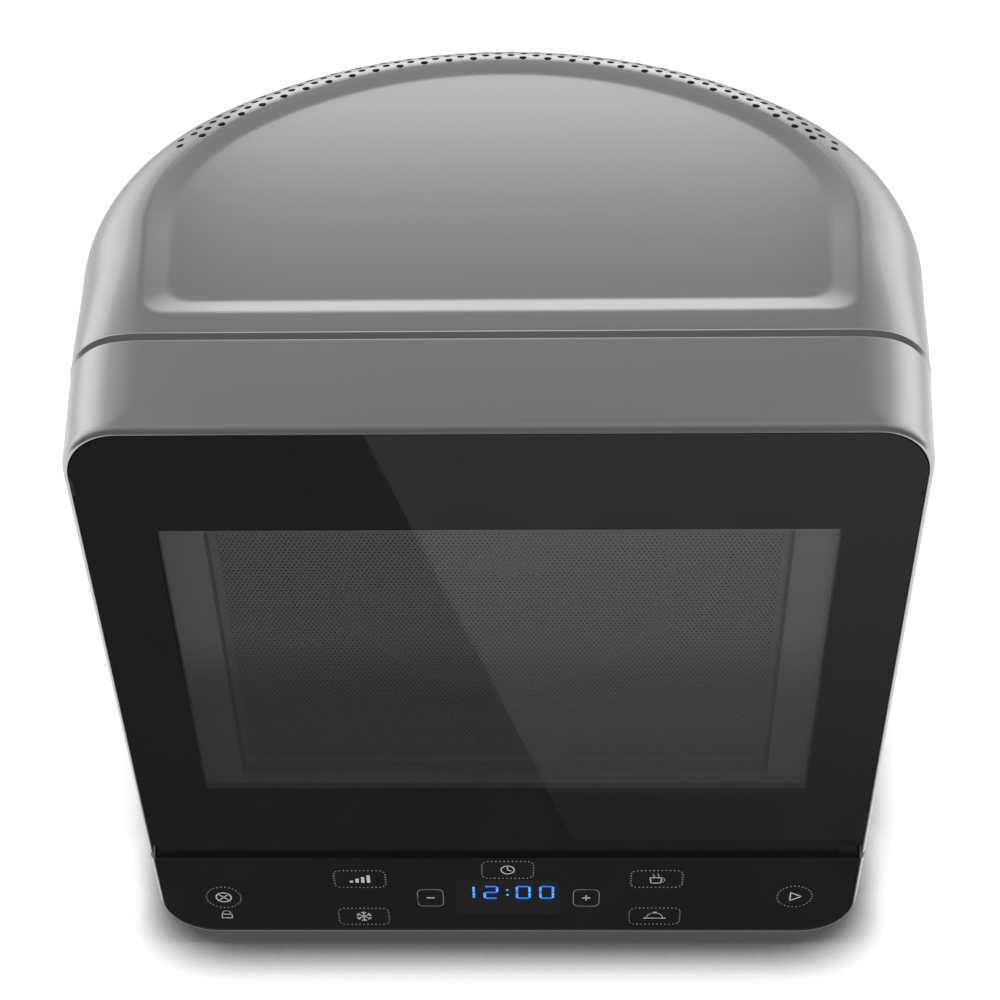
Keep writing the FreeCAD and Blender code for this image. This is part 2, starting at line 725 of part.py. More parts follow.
def magnetron():
    """Magnetron on its side: flange, open yoke, cooling fins, anode, antenna and filter box."""
    flange_x = LINER_SIDE - TUBE_FLANGE
    yoke_x = flange_x - TUBE_LONG
    depths = (TUBE_DEPTH - TUBE_WIDE / 2, TUBE_DEPTH + TUBE_WIDE / 2)
    flange = block((flange_x, LINER_SIDE), depths, (TUBE_LOW, TUBE_HIGH))
    yoke = block((yoke_x, flange_x), depths, (TUBE_LOW, TUBE_HIGH))
    yoke = yoke.cut(block((yoke_x + YOKE, flange_x - YOKE), (depths[0] - PAST, depths[1] + PAST),
                          (TUBE_LOW + YOKE, TUBE_HIGH - YOKE)))
    along = V(1, 0, 0)
    anode = sided_rod(V(yoke_x, FRONT + TUBE_DEPTH, TUBE_Z), along, V(0, 1, 0), ANODE_RADIUS, TUBE_LONG,
                      ANODE_SIDES)
    duct_end = WIDTH / 2 - CASE_WALL - FEED_ROOM - ANTENNA_ROOM
    antenna = rod(flange_x, TUBE_DEPTH, TUBE_Z, ANTENNA_RADIUS, duct_end - flange_x, along)
    pieces = [flange, yoke, anode, antenna]
    fin_pitch = (TUBE_LONG - 2 * YOKE) / (FIN_COUNT + PAST)
    for step in range(FIN_COUNT):
        x = yoke_x + YOKE + (step + 1) * fin_pitch
        pieces.append(block((x - FIN_THICK / 2, x + FIN_THICK / 2), (depths[0] + YOKE, depths[1] - YOKE),
                            (TUBE_LOW + YOKE, TUBE_HIGH - YOKE)))
    pieces.append(block((yoke_x - FILTER_BOX, yoke_x), (depths[0] + 2 * YOKE, depths[1] - 2 * YOKE),
                        (TUBE_LOW + YOKE, TUBE_HIGH - YOKE)))
    foot = block((yoke_x, flange_x), (depths[0], depths[0] + YOKE), (BASE_TOP, TUBE_LOW))
    back_foot = block((yoke_x, flange_x), (depths[1] - YOKE, depths[1]), (BASE_TOP, TUBE_LOW))
    return fused(pieces + [foot, back_foot])


def thermal_cutout():
    """Disc thermostat on the magnetron's yoke."""
    x = LINER_SIDE - TUBE_FLANGE - TUBE_LONG / 2
    disc = prism(x, TUBE_DEPTH, TUBE_HIGH, CUTOUT_RADIUS, CUTOUT_TALL, V(0, 0, 1), MANY_SIDES)
    strap = block((x - 1.6 * CUTOUT_RADIUS, x + 1.6 * CUTOUT_RADIUS),
                  (TUBE_DEPTH - CUTOUT_RADIUS / 2, TUBE_DEPTH + CUTOUT_RADIUS / 2),
                  (TUBE_HIGH, TUBE_HIGH + BASE_SHEET))
    return fused([disc, strap])


def iron_span():
    """Left and right side of the transformer's core."""
    left = IRON_SIDE - FRONT_WIDTH / 2
    return left, left + IRON_WIDE


def transformer():
    """Mains transformer: laminated core with its wound coils."""
    left, right = iron_span()
    front = CASE_FRONT + IRON_FRONT
    core = block((left, right), (front, front + IRON_DEEP), (BASE_TOP, BASE_TOP + IRON_TALL))
    coil_x = (left + right - COIL_WIDE) / 2
    coil_z = BASE_TOP + (IRON_TALL - COIL_TALL) / 2
    coil = block((coil_x, coil_x + COIL_WIDE), (front - COIL_OVERHANG, front + IRON_DEEP + COIL_OVERHANG),
                 (coil_z, coil_z + COIL_TALL))
    upright = [edge for edge in coil.Edges if edge.BoundBox.ZLength > COIL_TALL / 2]
    coil = coil.makeFillet(COIL_ROUND, upright)
    return fused([core, coil])


def can_places():
    """Left side, front and underside of the capacitor can, which lies beside the transformer."""
    return iron_span()[1] + CAN_GAP, CASE_FRONT + CAN_FRONT, BASE_TOP + CLAMP_SHEET


def capacitor():
    """High-voltage capacitor: an oval can with two terminals."""
    left, front, low = can_places()
    radius = CAN_TALL / 2
    z = low + radius
    back = V(0, 1, 0)
    round_x = (left + radius, left + CAN_WIDE - radius)
    pieces = [block(round_x, (front, front + CAN_LONG), (low, low + CAN_TALL))]
    for x in round_x:
        pieces.append(prism(x, front, z, radius, CAN_LONG, back, MANY_SIDES))
        pieces.append(prism(x, front - TERMINAL_LONG, z, TERMINAL_RADIUS, TERMINAL_LONG, back, FEW_SIDES))
    return fused(pieces)


def capacitor_clamp():
    """Bent sheet bracket that holds the can down on the base."""
    left, front, low = can_places()
    middle = front + CAN_LONG / 2
    depths = (middle - CLAMP_WIDE / 2, middle + CLAMP_WIDE / 2)
    right = left + CAN_WIDE
    top = low + CAN_TALL
    sheet = CLAMP_SHEET
    cradle = block((left - sheet, right + CLAMP_FOOT), depths, (BASE_TOP, low))
    near = block((left - sheet, left), depths, (BASE_TOP, top + sheet))
    far = block((right, right + sheet), depths, (BASE_TOP, top + sheet))
    strap = block((left - sheet, right + sheet), depths, (top, top + sheet))
    return fused([cradle, near, far, strap])


def diode():
    """High-voltage diode with its earthing lug on the base."""
    left, front, _ = can_places()
    place = left + CAN_WIDE + 3 * DIODE_RADIUS
    lug = block((place - DIODE_RADIUS, place + DIODE_RADIUS), (front, front + 3 * DIODE_RADIUS),
                (BASE_TOP, BASE_TOP + CLAMP_SHEET))
    body = prism(place, front + 2 * DIODE_RADIUS, BASE_TOP + CLAMP_SHEET + DIODE_RADIUS, DIODE_RADIUS,
                 DIODE_LONG, V(0, 1, 0), FEW_SIDES)
    stalk = block((place - CLAMP_SHEET, place + CLAMP_SHEET),
                  (front + DIODE_RADIUS, front + 3 * DIODE_RADIUS),
                  (BASE_TOP, BASE_TOP + CLAMP_SHEET + DIODE_RADIUS))
    return fused([lug, body, stalk])


def filter_board():
    """Mains filter board on posts, with its choke, fuse and capacitor."""
    back = DEPTH - FILTER_BACK
    xs = (FILTER_X - FILTER_WIDE / 2, FILTER_X + FILTER_WIDE / 2)
    depths = (back - FILTER_DEEP, back)
    low = BASE_TOP + FILTER_RISE
    top = low + BOARD_THICK
    pieces = [block(xs, depths, (low, top))]
    for x in (xs[0] + 2 * POST_HALF, xs[1] - 2 * POST_HALF):
        for depth in (depths[0] + 2 * POST_HALF, depths[1] - 2 * POST_HALF):
            pieces.append(block((x - POST_HALF, x + POST_HALF), (depth - POST_HALF, depth + POST_HALF),
                                (BASE_TOP, low)))
    middle = sum(depths) / 2
    pieces.append(prism(FILTER_X - FILTER_WIDE / 5, middle, low, FILTER_DEEP / 4, FILTER_DEEP / 3,
                        V(0, 0, 1), FEW_SIDES))
    pieces.append(block((FILTER_X + FILTER_WIDE / 8, FILTER_X + FILTER_WIDE / 3),
                        (middle - FILTER_DEEP / 4, middle + FILTER_DEEP / 4), (low, low + FILTER_DEEP / 3)))
    return fused(pieces)


def fan_shroud():
    """Moulded fan housing with a round throat and arms that carry the motor."""
    xs = (FAN_X - SHROUD_HALF, FAN_X + SHROUD_HALF)
    body = block(xs, (SHROUD_FRONT, SHROUD_BACK), (BASE_TOP, SHROUD_HIGH))
    throat = prism(FAN_X, SHROUD_FRONT - PAST, FAN_Z, SHROUD_HALF - SHROUD_RIM,
                   SHROUD_DEEP + 2 * PAST, V(0, 1, 0),
                   MANY_SIDES)
    body = body.cut(throat)
    arms = []
    for reach_x, reach_z in ((SHROUD_HALF, SPIDER_WIDE / 2), (SPIDER_WIDE / 2, SHROUD_HALF)):
        arms.append(block((FAN_X - reach_x, FAN_X + reach_x), (SHROUD_BACK, SHROUD_BACK + SPIDER),
                          (FAN_Z - reach_z, FAN_Z + reach_z)))
    shaft_hole = rod(FAN_X, SHROUD_BACK - PAST, FAN_Z, FAN_SHAFT + FIT, SPIDER + 2 * PAST, V(0, 1, 0))
    return fused([body] + arms).cut(shaft_hole)


def fan_motor():
    """Shaded-pole motor behind the fan, with its shaft."""
    half = FAN_MOTOR / 2
    start = FAN_MOTOR_BACK - FAN_MOTOR_DEEP
    body = block((FAN_X - half, FAN_X + half), (start, FAN_MOTOR_BACK), (FAN_Z - half, FAN_Z + half))
    shaft = rod(FAN_X, SHROUD_FRONT + SPIDER, FAN_Z, FAN_SHAFT, start - SHROUD_FRONT - SPIDER, V(0, 1, 0))
    return fused([body, shaft])


def fan_blade():
    """Axial fan wheel with pitched blades on a hub."""
    start = SHROUD_FRONT + (SHROUD_DEEP - FAN_HUB_DEEP) / 2
    hub = sided_rod(V(0, -FAN_HUB_DEEP / 2, 0), V(0, 1, 0), V(0, 0, 1), FAN_HUB, FAN_HUB_DEEP, MANY_SIDES)
    pieces = [hub]
    for step in range(BLADE_COUNT):
        corner = V(-BLADE_WIDE / 2, -BLADE_THICK / 2, FAN_HUB / 2)
        blade = Part.makeBox(BLADE_WIDE, BLADE_THICK, FAN_RADIUS - FAN_HUB / 2, corner)
        blade.rotate(V(0, 0, 0), V(0, 0, 1), BLADE_PITCH)
        blade.rotate(V(0, 0, 0), V(0, 1, 0), 360 * step / BLADE_COUNT)
        pieces.append(blade)
    bore = Part.makeCylinder(FAN_SHAFT + RUN, 2 * FAN_HUB_DEEP, V(0, -FAN_HUB_DEEP, 0), V(0, 1, 0))
    wheel = fused(pieces).cut(bore)
    wheel.translate(V(FAN_X, FRONT + start + FAN_HUB_DEEP / 2, FAN_Z))
    return wheel


def air_duct():
    """Sleeve that leads the fan's air to the magnetron's fins."""
    right = LINER_SIDE - TUBE_FLANGE
    xs = (max(right - TUBE_LONG, FAN_X - SHROUD_HALF), min(right, FAN_X + SHROUD_HALF))
    heights = (TUBE_LOW, TUBE_HIGH)
    sleeve = block(xs, (TUBE_BACK, SHROUD_FRONT), heights)
    hollow = block((xs[0] + DUCT_WALL, xs[1] - DUCT_WALL), (TUBE_BACK - PAST, SHROUD_FRONT + PAST),
                   (heights[0] + DUCT_WALL, heights[1] - DUCT_WALL))
    return sleeve.cut(hollow)


def turntable_motor():
    """Flat gear motor under the cavity floor, with fixing lugs."""
    top = FLOOR_UNDER
    up = V(0, 0, 1)
    body = prism(0, TABLE_DEPTH, top - TURN_MOTOR_TALL, TURN_MOTOR_RADIUS, TURN_MOTOR_TALL, up, MANY_SIDES)
    lug_half = STEM_HOLE / 2
    lugs = block((-TURN_MOTOR_LUG, TURN_MOTOR_LUG), (TABLE_DEPTH - lug_half, TABLE_DEPTH + lug_half),
                 (top - CLAMP_SHEET, top))
    bore = rod(0, TABLE_DEPTH, top - STEM_SINK, STEM_RADIUS + RUN, 2 * STEM_SINK, up)
    return fused([body, lugs]).cut(bore)


def turntable_coupler():
    """Three-armed coupler on the motor's spindle, under the tray."""
    up = V(0, 0, 1)
    stem_low = FLOOR_UNDER - STEM_SINK + AIR
    stem = rod(0, TABLE_DEPTH, stem_low, STEM_RADIUS, TRAY_LOW - stem_low, up)
    hub_low = CAVITY_LOW + 2 * AIR
    pieces = [stem, prism(0, TABLE_DEPTH, hub_low, HUB_RADIUS, TRAY_LOW - hub_low, up, FEW_SIDES)]
    for step in range(WHEEL_COUNT):
        arm = Part.makeBox(ARM_LONG, ARM_WIDE, ARM_TALL, V(0, -ARM_WIDE / 2, TRAY_LOW - ARM_TALL))
        arm.rotate(V(0, 0, 0), up, 90 + 360 * step / WHEEL_COUNT)
        arm.translate(V(0, FRONT + TABLE_DEPTH, 0))
        pieces.append(arm)
    return fused(pieces)


def dish(low, low_radius, high, high_radius):
    """Flaring round block on the turntable's axis."""
    wires = []
    for z, radius in ((low, low_radius), (high, high_radius)):
        middle = V(0, FRONT + TABLE_DEPTH, z)
        wires.append(sided_wire(middle, V(0, 0, 1), V(1, 0, 0), radius, 2 * MANY_SIDES))
    return Part.makeLoft(wires, True, True)


def glass_tray():
    """Turntable tray with a raised, sloping rim."""
    flat = TRAY_RADIUS - TRAY_RIM
    high = TRAY_LOW + TRAY_RIM
    outside = dish(TRAY_LOW, flat, high, TRAY_RADIUS)
    inside = dish(TRAY_LOW + TRAY_THICK, flat, high, TRAY_RADIUS - TRAY_THICK)
    return outside.cut(inside)


def wheel_turn(step):
    """Angle of a roller round the turntable."""
    return 90 + 360 * step / WHEEL_COUNT


def placed_on_track(shape, step):
    """Turn a shape made along +X to a roller's place on the ring."""
    shape.rotate(V(0, 0, 0), V(0, 0, 1), wheel_turn(step))
    shape.translate(V(0, FRONT + TABLE_DEPTH, 0))
    return shape


def roller_ring():
    """Ring that keeps the rollers apart, with a short axle for each."""
    outer = TRACK_RADIUS - WHEEL_WIDE / 2 - AIR
    low = WHEEL_Z - RING_TALL / 2
    base = V(0, 0, low)
    up = V(0, 0, 1)
    across = V(1, 0, 0)
    ring = sided_rod(base, up, across, outer, RING_TALL, 2 * MANY_SIDES)
    ring = ring.cut(sided_rod(base, up, across, outer - RING_WIDE, RING_TALL, 2 * MANY_SIDES))
    ring.translate(V(0, FRONT + TABLE_DEPTH, 0))
    pieces = [ring]
    for step in range(WHEEL_COUNT):
        start = outer - RING_WIDE / 2
        end = TRACK_RADIUS + WHEEL_WIDE / 2 + AIR
        pin = Part.makeCylinder(WHEEL_PIN, end - start, V(start, 0, WHEEL_Z), V(1, 0, 0))
        pieces.append(placed_on_track(pin, step))
    return fused(pieces)


def roller_wheel(step):
    """Roller that runs between the cavity floor and the tray."""
    start = V(TRACK_RADIUS - WHEEL_WIDE / 2, 0, WHEEL_Z)
    along = V(1, 0, 0)
    wheel = sided_rod(start, along, V(0, 0, 1), WHEEL_RADIUS, WHEEL_WIDE, MANY_SIDES)
    wheel = wheel.cut(Part.makeCylinder(WHEEL_PIN + RUN, WHEEL_WIDE, start, along))
    return placed_on_track(wheel, step)


def lamp_holder():
    """Lamp box on the outside of the cavity's left wall."""
    depth, z = lamp_places()
    half = LAMP_BOX / 2
    outside = -LINER_SIDE - LAMP_SCREEN
    body = block((outside - LAMP_DEEP, outside), (depth - half, depth + half), (z - half, z + half))
    inner = half - LAMP_WALL
    hollow = block((outside - LAMP_DEEP + LAMP_WALL, outside + PAST), (depth - inner, depth + inner),
                   (z - inner, z + inner))
    return body.cut(hollow)


def lamp_bulb():
    """Small bulb with its cap, standing up in the lamp box."""
    depth, z = lamp_places()
    x = -LINER_SIDE - LAMP_SCREEN - LAMP_DEEP / 2
    low = z - LAMP_BOX / 2 + LAMP_WALL
    up = V(0, 0, 1)
    cap = prism(x, depth, low, BULB_CAP, 2 * BULB_CAP, up, FEW_SIDES)
    glass = prism(x, depth, low + 2 * BULB_CAP, BULB_RADIUS, 2 * BULB_CAP, up, FEW_SIDES)
    return fused([cap, glass])


def lamp_screen():
    """Punched sheet between the lamp box and the cavity wall."""
    depth, z = lamp_places()
    half = LAMP_BOX / 2
    return block((-LINER_SIDE - LAMP_SCREEN, -LINER_SIDE), (depth - half, depth + half),
                 (z - half, z + half))


def interlock_bracket():
    """Right latch bracket behind the front plate, with a channel for the hook."""
    slot_half = LATCH_THICK / 2 + SLOT_SIDE
    xs = (LATCH_X - slot_half - BRACKET_WALL / 2, LATCH_X + slot_half + BRACKET_WALL)
    body = block(xs, (PLATE_BACK, PLATE_BACK + BRACKET_LONG),
                 (LATCH_Z - BRACKET_BELOW, LATCH_Z + BRACKET_ABOVE))
    channel = block((LATCH_X - slot_half, LATCH_X + slot_half),
                    (PLATE_BACK - PAST, PLATE_BACK + BRACKET_LONG - 2 * BRACKET_WALL),
                    (LATCH_Z - SLOT_BELOW, LATCH_Z + SLOT_ABOVE))
    relief = block((LATCH_X - slot_half, LATCH_X + slot_half + 2 * BRACKET_WALL),
                   (PLATE_BACK + 2 * BRACKET_WALL, PLATE_BACK + BRACKET_LONG - 2 * BRACKET_WALL),
                   (LATCH_Z - BRACKET_BELOW + 2 * BRACKET_WALL, LATCH_Z - SLOT_BELOW - 2 * BRACKET_WALL))
    return body.cut([channel, relief])


def interlock_switches():
    """Microswitches above and below each latch bracket."""
    made = []
    xs = (LATCH_X - SWITCH_THICK / 2, LATCH_X + SWITCH_THICK / 2)
    depths = (PLATE_BACK + 3 * BRACKET_WALL, PLATE_BACK + 3 * BRACKET_WALL + SWITCH_LONG)
    for low in (LATCH_Z + BRACKET_ABOVE, LATCH_Z - BRACKET_BELOW - SWITCH_TALL):
        body = block(xs, depths, (low, low + SWITCH_TALL))
        made.append(body)
        made.append(mirrored(body))
    return Part.makeCompound(made)


def ear_span():
    """Inner and outer end of the right hinge ear."""
    outer = half_width(0, BAND_WALL) - EAR_SIDE
    return outer - EAR_LONG, outer


def hinge_bracket():
    """Right hinge ear on the control panel's ledge, with its foot."""
    xs = ear_span()
    ear = block(xs, (HINGE_DEPTH - EAR_ROUND, HINGE_DEPTH + EAR_ROUND), (PANEL_TOP, HINGE_Z))
    knuckle = rod(xs[0], HINGE_DEPTH, HINGE_Z, EAR_ROUND, EAR_LONG, V(1, 0, 0))
    foot_back = HINGE_DEPTH - EAR_ROUND + EAR_FOOT_LONG
    foot = block(xs, (HINGE_DEPTH - EAR_ROUND, foot_back), (PANEL_TOP, PANEL_TOP + EAR_FOOT))
    bore = rod(xs[0] - PAST, HINGE_DEPTH, HINGE_Z, PIN_RADIUS + RUN, EAR_LONG + 2 * PAST, V(1, 0, 0))
    return fused([ear, knuckle, foot]).cut(bore)


def hinge_pins():
    """Two short pins that join the hinge ears to the door's lower bar."""
    inner, outer = ear_span()
    pin = rod(inner - PIN_REACH, HINGE_DEPTH, HINGE_Z, PIN_RADIUS, outer - inner + PIN_REACH, V(1, 0, 0))
    return Part.makeCompound([pin, mirrored(pin)])


def control_housing():
    """Painted lower front shell with rounded lower corners."""
    return band(housing_outline, PANEL_TOP, PANEL_TOP + PAST)


def carrier_half():
    """Half width of the black moulding inside the control housing."""
    return half_width(0, BAND_WALL + GLASS_GAP)


def control_carrier():
    """Black moulding behind the touch panel, with the ledge below the door."""
    half = carrier_half()
    low = BASE_TOP + FIT
    corner = LOWER_CORNER - BAND_WALL
    outer = front_plate_solid(GLASS, PLATE_FRONT - GLASS, half, low, PANEL_TOP, corner)
    hollow = front_plate_solid(GLASS + CARRIER_FACE, PLATE_FRONT, half - CARRIER_WALL, low + CARRIER_WALL,
                               PANEL_TOP - LEDGE, corner - CARRIER_WALL)
    display_x, display_z = display_span()
    aperture = block((display_x[0] - FIT, display_x[1] + FIT), (GLASS - PAST, GLASS + CARRIER_FACE + PAST),
                     (display_z[0] - FIT, display_z[1] + FIT))
    posts = []
    board_x, board_z = board_span()
    for x in (board_x[0] + 2 * POST_HALF, board_x[1] - 2 * POST_HALF):
        for z in (board_z[0] + 2 * POST_HALF, board_z[1] - 2 * POST_HALF):
            posts.append(block((x - POST_HALF, x + POST_HALF),
                               (GLASS + CARRIER_FACE / 2, GLASS + DISPLAY_THICK),
                               (z - POST_HALF, z + POST_HALF)))
    return fused([outer.cut([hollow, aperture])] + posts)


def control_glass():
    """Black touch panel, flush with the housing's rim."""
    return front_plate_solid(0.0, GLASS, carrier_half(), BASE_LOW + GLASS_GAP, PANEL_TOP,
                             LOWER_CORNER - BAND_WALL - GLASS_GAP)


def panel_middle():
    """Height of the middle of the touch panel."""
    return (FOOT_HEIGHT + PANEL_TOP) / 2


def display_span():
    """Sides and heights of the display window."""
    z = panel_middle()
    return (-DISPLAY_WIDE / 2, DISPLAY_WIDE / 2), (z - DISPLAY_TALL / 2, z + DISPLAY_TALL / 2)


def board_span():
    """Sides and heights of the control board."""
    half = FRONT_WIDTH / 2 - BOARD_SIDE
    return (-half, half), (BASE_TOP + BOARD_MARGIN, PANEL_TOP - LEDGE - BOARD_MARGIN)


def display_module():
    """Display block between the touch panel and the control board."""
    sides, heights = display_span()
    return block(sides, (GLASS, GLASS + DISPLAY_THICK), heights)


def control_board():
    """Control board with its relays and small transformer."""
    sides, heights = board_span()
    start = GLASS + DISPLAY_THICK
    back = start + BOARD_THICK
    pieces = [block(sides, (start, back), heights)]
    room = PLATE_FRONT - back
    for place in (-0.7, -0.4, 0.35, 0.65):
        x = place * sides[1]
        pieces.append(block((x, x + room), (start, back + 0.7 * room),
                            (panel_middle() - room / 2, panel_middle() + room / 2)))
    return fused(pieces)


def door_shell():
    """Painted band of the door: top, flaring sides and thin bevelled front rim."""
    low = HINGE_Z - BAND_OVERHANG
    return band(door_outline, low, low - PAST)


def ear_notches(front, back):
    """Room for the hinge ears in the door's lower corners."""
    inner, outer = ear_span()
    right = block((inner - AIR, outer + EAR_SIDE + BAND_WALL), (front, back),
                  (FRAME_LOW - PAST, HINGE_Z + EAR_ROUND + NOTCH_AIR))
    return [right, mirrored(right)]


def tab_blocks(thick, long, depths):
    """Small blocks at the sides of the glass, for its tabs or their notches."""
    half = half_width(0, BAND_WALL + GLASS_GAP)
    z = HEIGHT - TAB_DROP
    right = block((half - thick, half + FIT / 2), depths, (z - long / 2, z + long / 2))
    return [right, mirrored(right)]


def door_glass():
    """Black front glass of the door, flush with the rim."""
    high = HEIGHT - BAND_WALL - GLASS_GAP
    plate = front_plate_solid(0.0, GLASS, half_width(0, BAND_WALL + GLASS_GAP), HINGE_Z - GLASS_OVERHANG,
                              high, 0.0, band_corner(GLASS) - BAND_WALL - GLASS_GAP)
    tab_notches = tab_blocks(TAB_THICK + FIT, TAB_LONG + 2 * FIT, (-PAST, GLASS + PAST))
    return plate.cut(ear_notches(-PAST, GLASS + PAST) + tab_notches)


def door_frame():
    """Dark moulded door frame with the hinge bar, glass tabs and latch pins."""
    inset = BAND_WALL + FIT
    high = HEIGHT - inset
    half = half_width(GLASS, inset)
    corner = band_corner(DOOR_THICK) - inset
    outer = front_plate_solid(GLASS, COVER_FRONT - GLASS, half, FRAME_LOW, high, 0.0, corner)
    hollow = front_plate_solid(FACE_BACK, DOOR_THICK, half - FRAME_WALL, FRAME_LOW + LEDGE,
                               high - FRAME_WALL, 0.0, corner - FRAME_WALL)
    window = block((-WINDOW_HALF, WINDOW_HALF), (GLASS - PAST, FACE_BACK + PAST), (WINDOW_LOW, WINDOW_HIGH))
    inner, _ = ear_span()
    bar_half = inner - AIR
    bar = rod(-bar_half, HINGE_DEPTH, HINGE_Z, LIP_RADIUS, 2 * bar_half, V(1, 0, 0))
    bar = bar.cut(block((-WIDTH, WIDTH), (-PAST, GLASS), (HINGE_Z - GLASS_OVERHANG, HEIGHT)))
    square_lip = block((-WIDTH, WIDTH), (-PAST, HINGE_DEPTH), (FRAME_LOW - PAST, HINGE_Z - GLASS_OVERHANG))
    shell = outer.cut([hollow, window, square_lip])
    pin_in = LATCH_X - LATCH_THICK / 2 - LATCH_PIN
    pin_out = half - FRAME_WALL / 2
    pin = rod(pin_in, LATCH_PIVOT, LATCH_Z, LATCH_PIN, pin_out - pin_in, V(1, 0, 0))
    tabs = tab_blocks(TAB_THICK, TAB_LONG, (AIR, GLASS + FRAME_FACE / 2))
    frame = fused([shell, bar, pin, mirrored(pin)] + tabs)
    bore = rod(bar_half - PIN_REACH, HINGE_DEPTH, HINGE_Z, PIN_RADIUS + RUN, 2 * PIN_REACH, V(1, 0, 0))
    return frame.cut(ear_notches(-PAST, HINGE_DEPTH + EAR_ROUND + NOTCH_AIR) + [bore, mirrored(bore)])


def door_screen():
    """Pressed screen: margin, recessed perforated panel and the choke wall round it."""
    low = WINDOW_LOW - SCREEN_LAP
    high = WINDOW_HIGH + SCREEN_LAP
    sheet = SCREEN_SHEET
    choke = block((-SCREEN_HALF, SCREEN_HALF), (FACE_BACK, COVER_FRONT), (low, high))
    choke = choke.cut(block((sheet - SCREEN_HALF, SCREEN_HALF - sheet),
                            (FACE_BACK + sheet, COVER_FRONT + PAST),
                            (low + sheet, high - sheet)))
    tray = block((-MESH_HALF, MESH_HALF), (FACE_BACK, FACE_BACK + SCREEN_RECESS + sheet),
                 (MESH_LOW, MESH_HIGH))
    pocket = block((sheet - MESH_HALF, MESH_HALF - sheet), (FACE_BACK - PAST, FACE_BACK + SCREEN_RECESS),
                   (MESH_LOW + sheet, MESH_HIGH - sheet))
    return fused([choke, tray]).cut(pocket)


def choke_cover():
    """Inner trim of the door, with the window opening and the latch slots."""
    inset = BAND_WALL + FIT
    plate = front_plate_solid(COVER_FRONT, COVER_THICK, half_width(GLASS, inset), FRAME_LOW, HEIGHT - inset,
                              0.0, band_corner(DOOR_THICK) - inset)
    cuts = [block((-MESH_HALF - COVER_ROOM, MESH_HALF + COVER_ROOM), (COVER_FRONT - PAST, DOOR_THICK + PAST),
                  (MESH_LOW - COVER_ROOM, MESH_HIGH + COVER_ROOM))]
    slot_half = LATCH_THICK / 2 + SLOT_SIDE
    for side in (-1, 1):
        x = side * LATCH_X
        cuts.append(block((x - slot_half, x + slot_half), (COVER_FRONT - PAST, DOOR_THICK + PAST),
                          (LATCH_Z - SLOT_BELOW, LATCH_Z + SLOT_ABOVE)))
    return plate.cut(cuts)


def window_film():
    """Clear sheet behind the window, on the inside of the choke cover."""
    half = MESH_HALF + COVER_ROOM + FILM_LAP
    return block((-half, half), (COVER_FRONT - FILM, COVER_FRONT),
                 (MESH_LOW - COVER_ROOM - FILM_LAP, MESH_HIGH + COVER_ROOM + FILM_LAP))


def latch_hook():
    """Right latch hook: an arm on its pin with a sloped nose."""
    eye = 2 * LATCH_PIN
    tip = DOOR_THICK + LATCH_REACH
    nose = LATCH_PIN
    outline = [
        (LATCH_PIVOT, LATCH_Z - eye),
        (tip - 3 * nose, LATCH_Z - eye / 2),
        (tip - 2.4 * nose, LATCH_Z - eye / 2 - nose),
        (tip, LATCH_Z - eye / 4),
        (tip - nose, LATCH_Z + eye / 2),
        (LATCH_PIVOT, LATCH_Z + eye),
    ]
    x = LATCH_X - LATCH_THICK / 2
    points = [V(x, FRONT + depth, z) for depth, z in outline]
    along = V(LATCH_THICK, 0, 0)
    arm = Part.Face(Part.makePolygon(points + points[:1])).extrude(along)
    boss = prism(x, LATCH_PIVOT, LATCH_Z, eye, LATCH_THICK, V(1, 0, 0), MANY_SIDES)
    bore = rod(x - PAST, LATCH_PIVOT, LATCH_Z, LATCH_PIN + RUN, LATCH_THICK + 2 * PAST, V(1, 0, 0))
    return fused([arm, boss]).cut(bore)


def latch_springs():
    """Coil spring on each latch pin, outside its hook."""
    along = V(1, 0, 0)
    start = LATCH_X + LATCH_THICK / 2 + AIR
    inner = LATCH_PIN + AIR
    long = 2 * SPRING_WIRE * SPRING_TURNS
    pieces = [prism(start, LATCH_PIVOT, LATCH_Z, inner + SPRING_WIRE, long, along, FEW_SIDES)]
    for turn in range(SPRING_TURNS):
        x = start + 2 * SPRING_WIRE * turn
        pieces.append(prism(x, LATCH_PIVOT, LATCH_Z, inner + 2 * SPRING_WIRE, SPRING_WIRE, along, FEW_SIDES))
    bore = prism(start - PAST, LATCH_PIVOT, LATCH_Z, inner, long + 2 * PAST, along, FEW_SIDES)
    spring = fused(pieces).cut(bore)
    return Part.makeCompound([spring, mirrored(spring)])


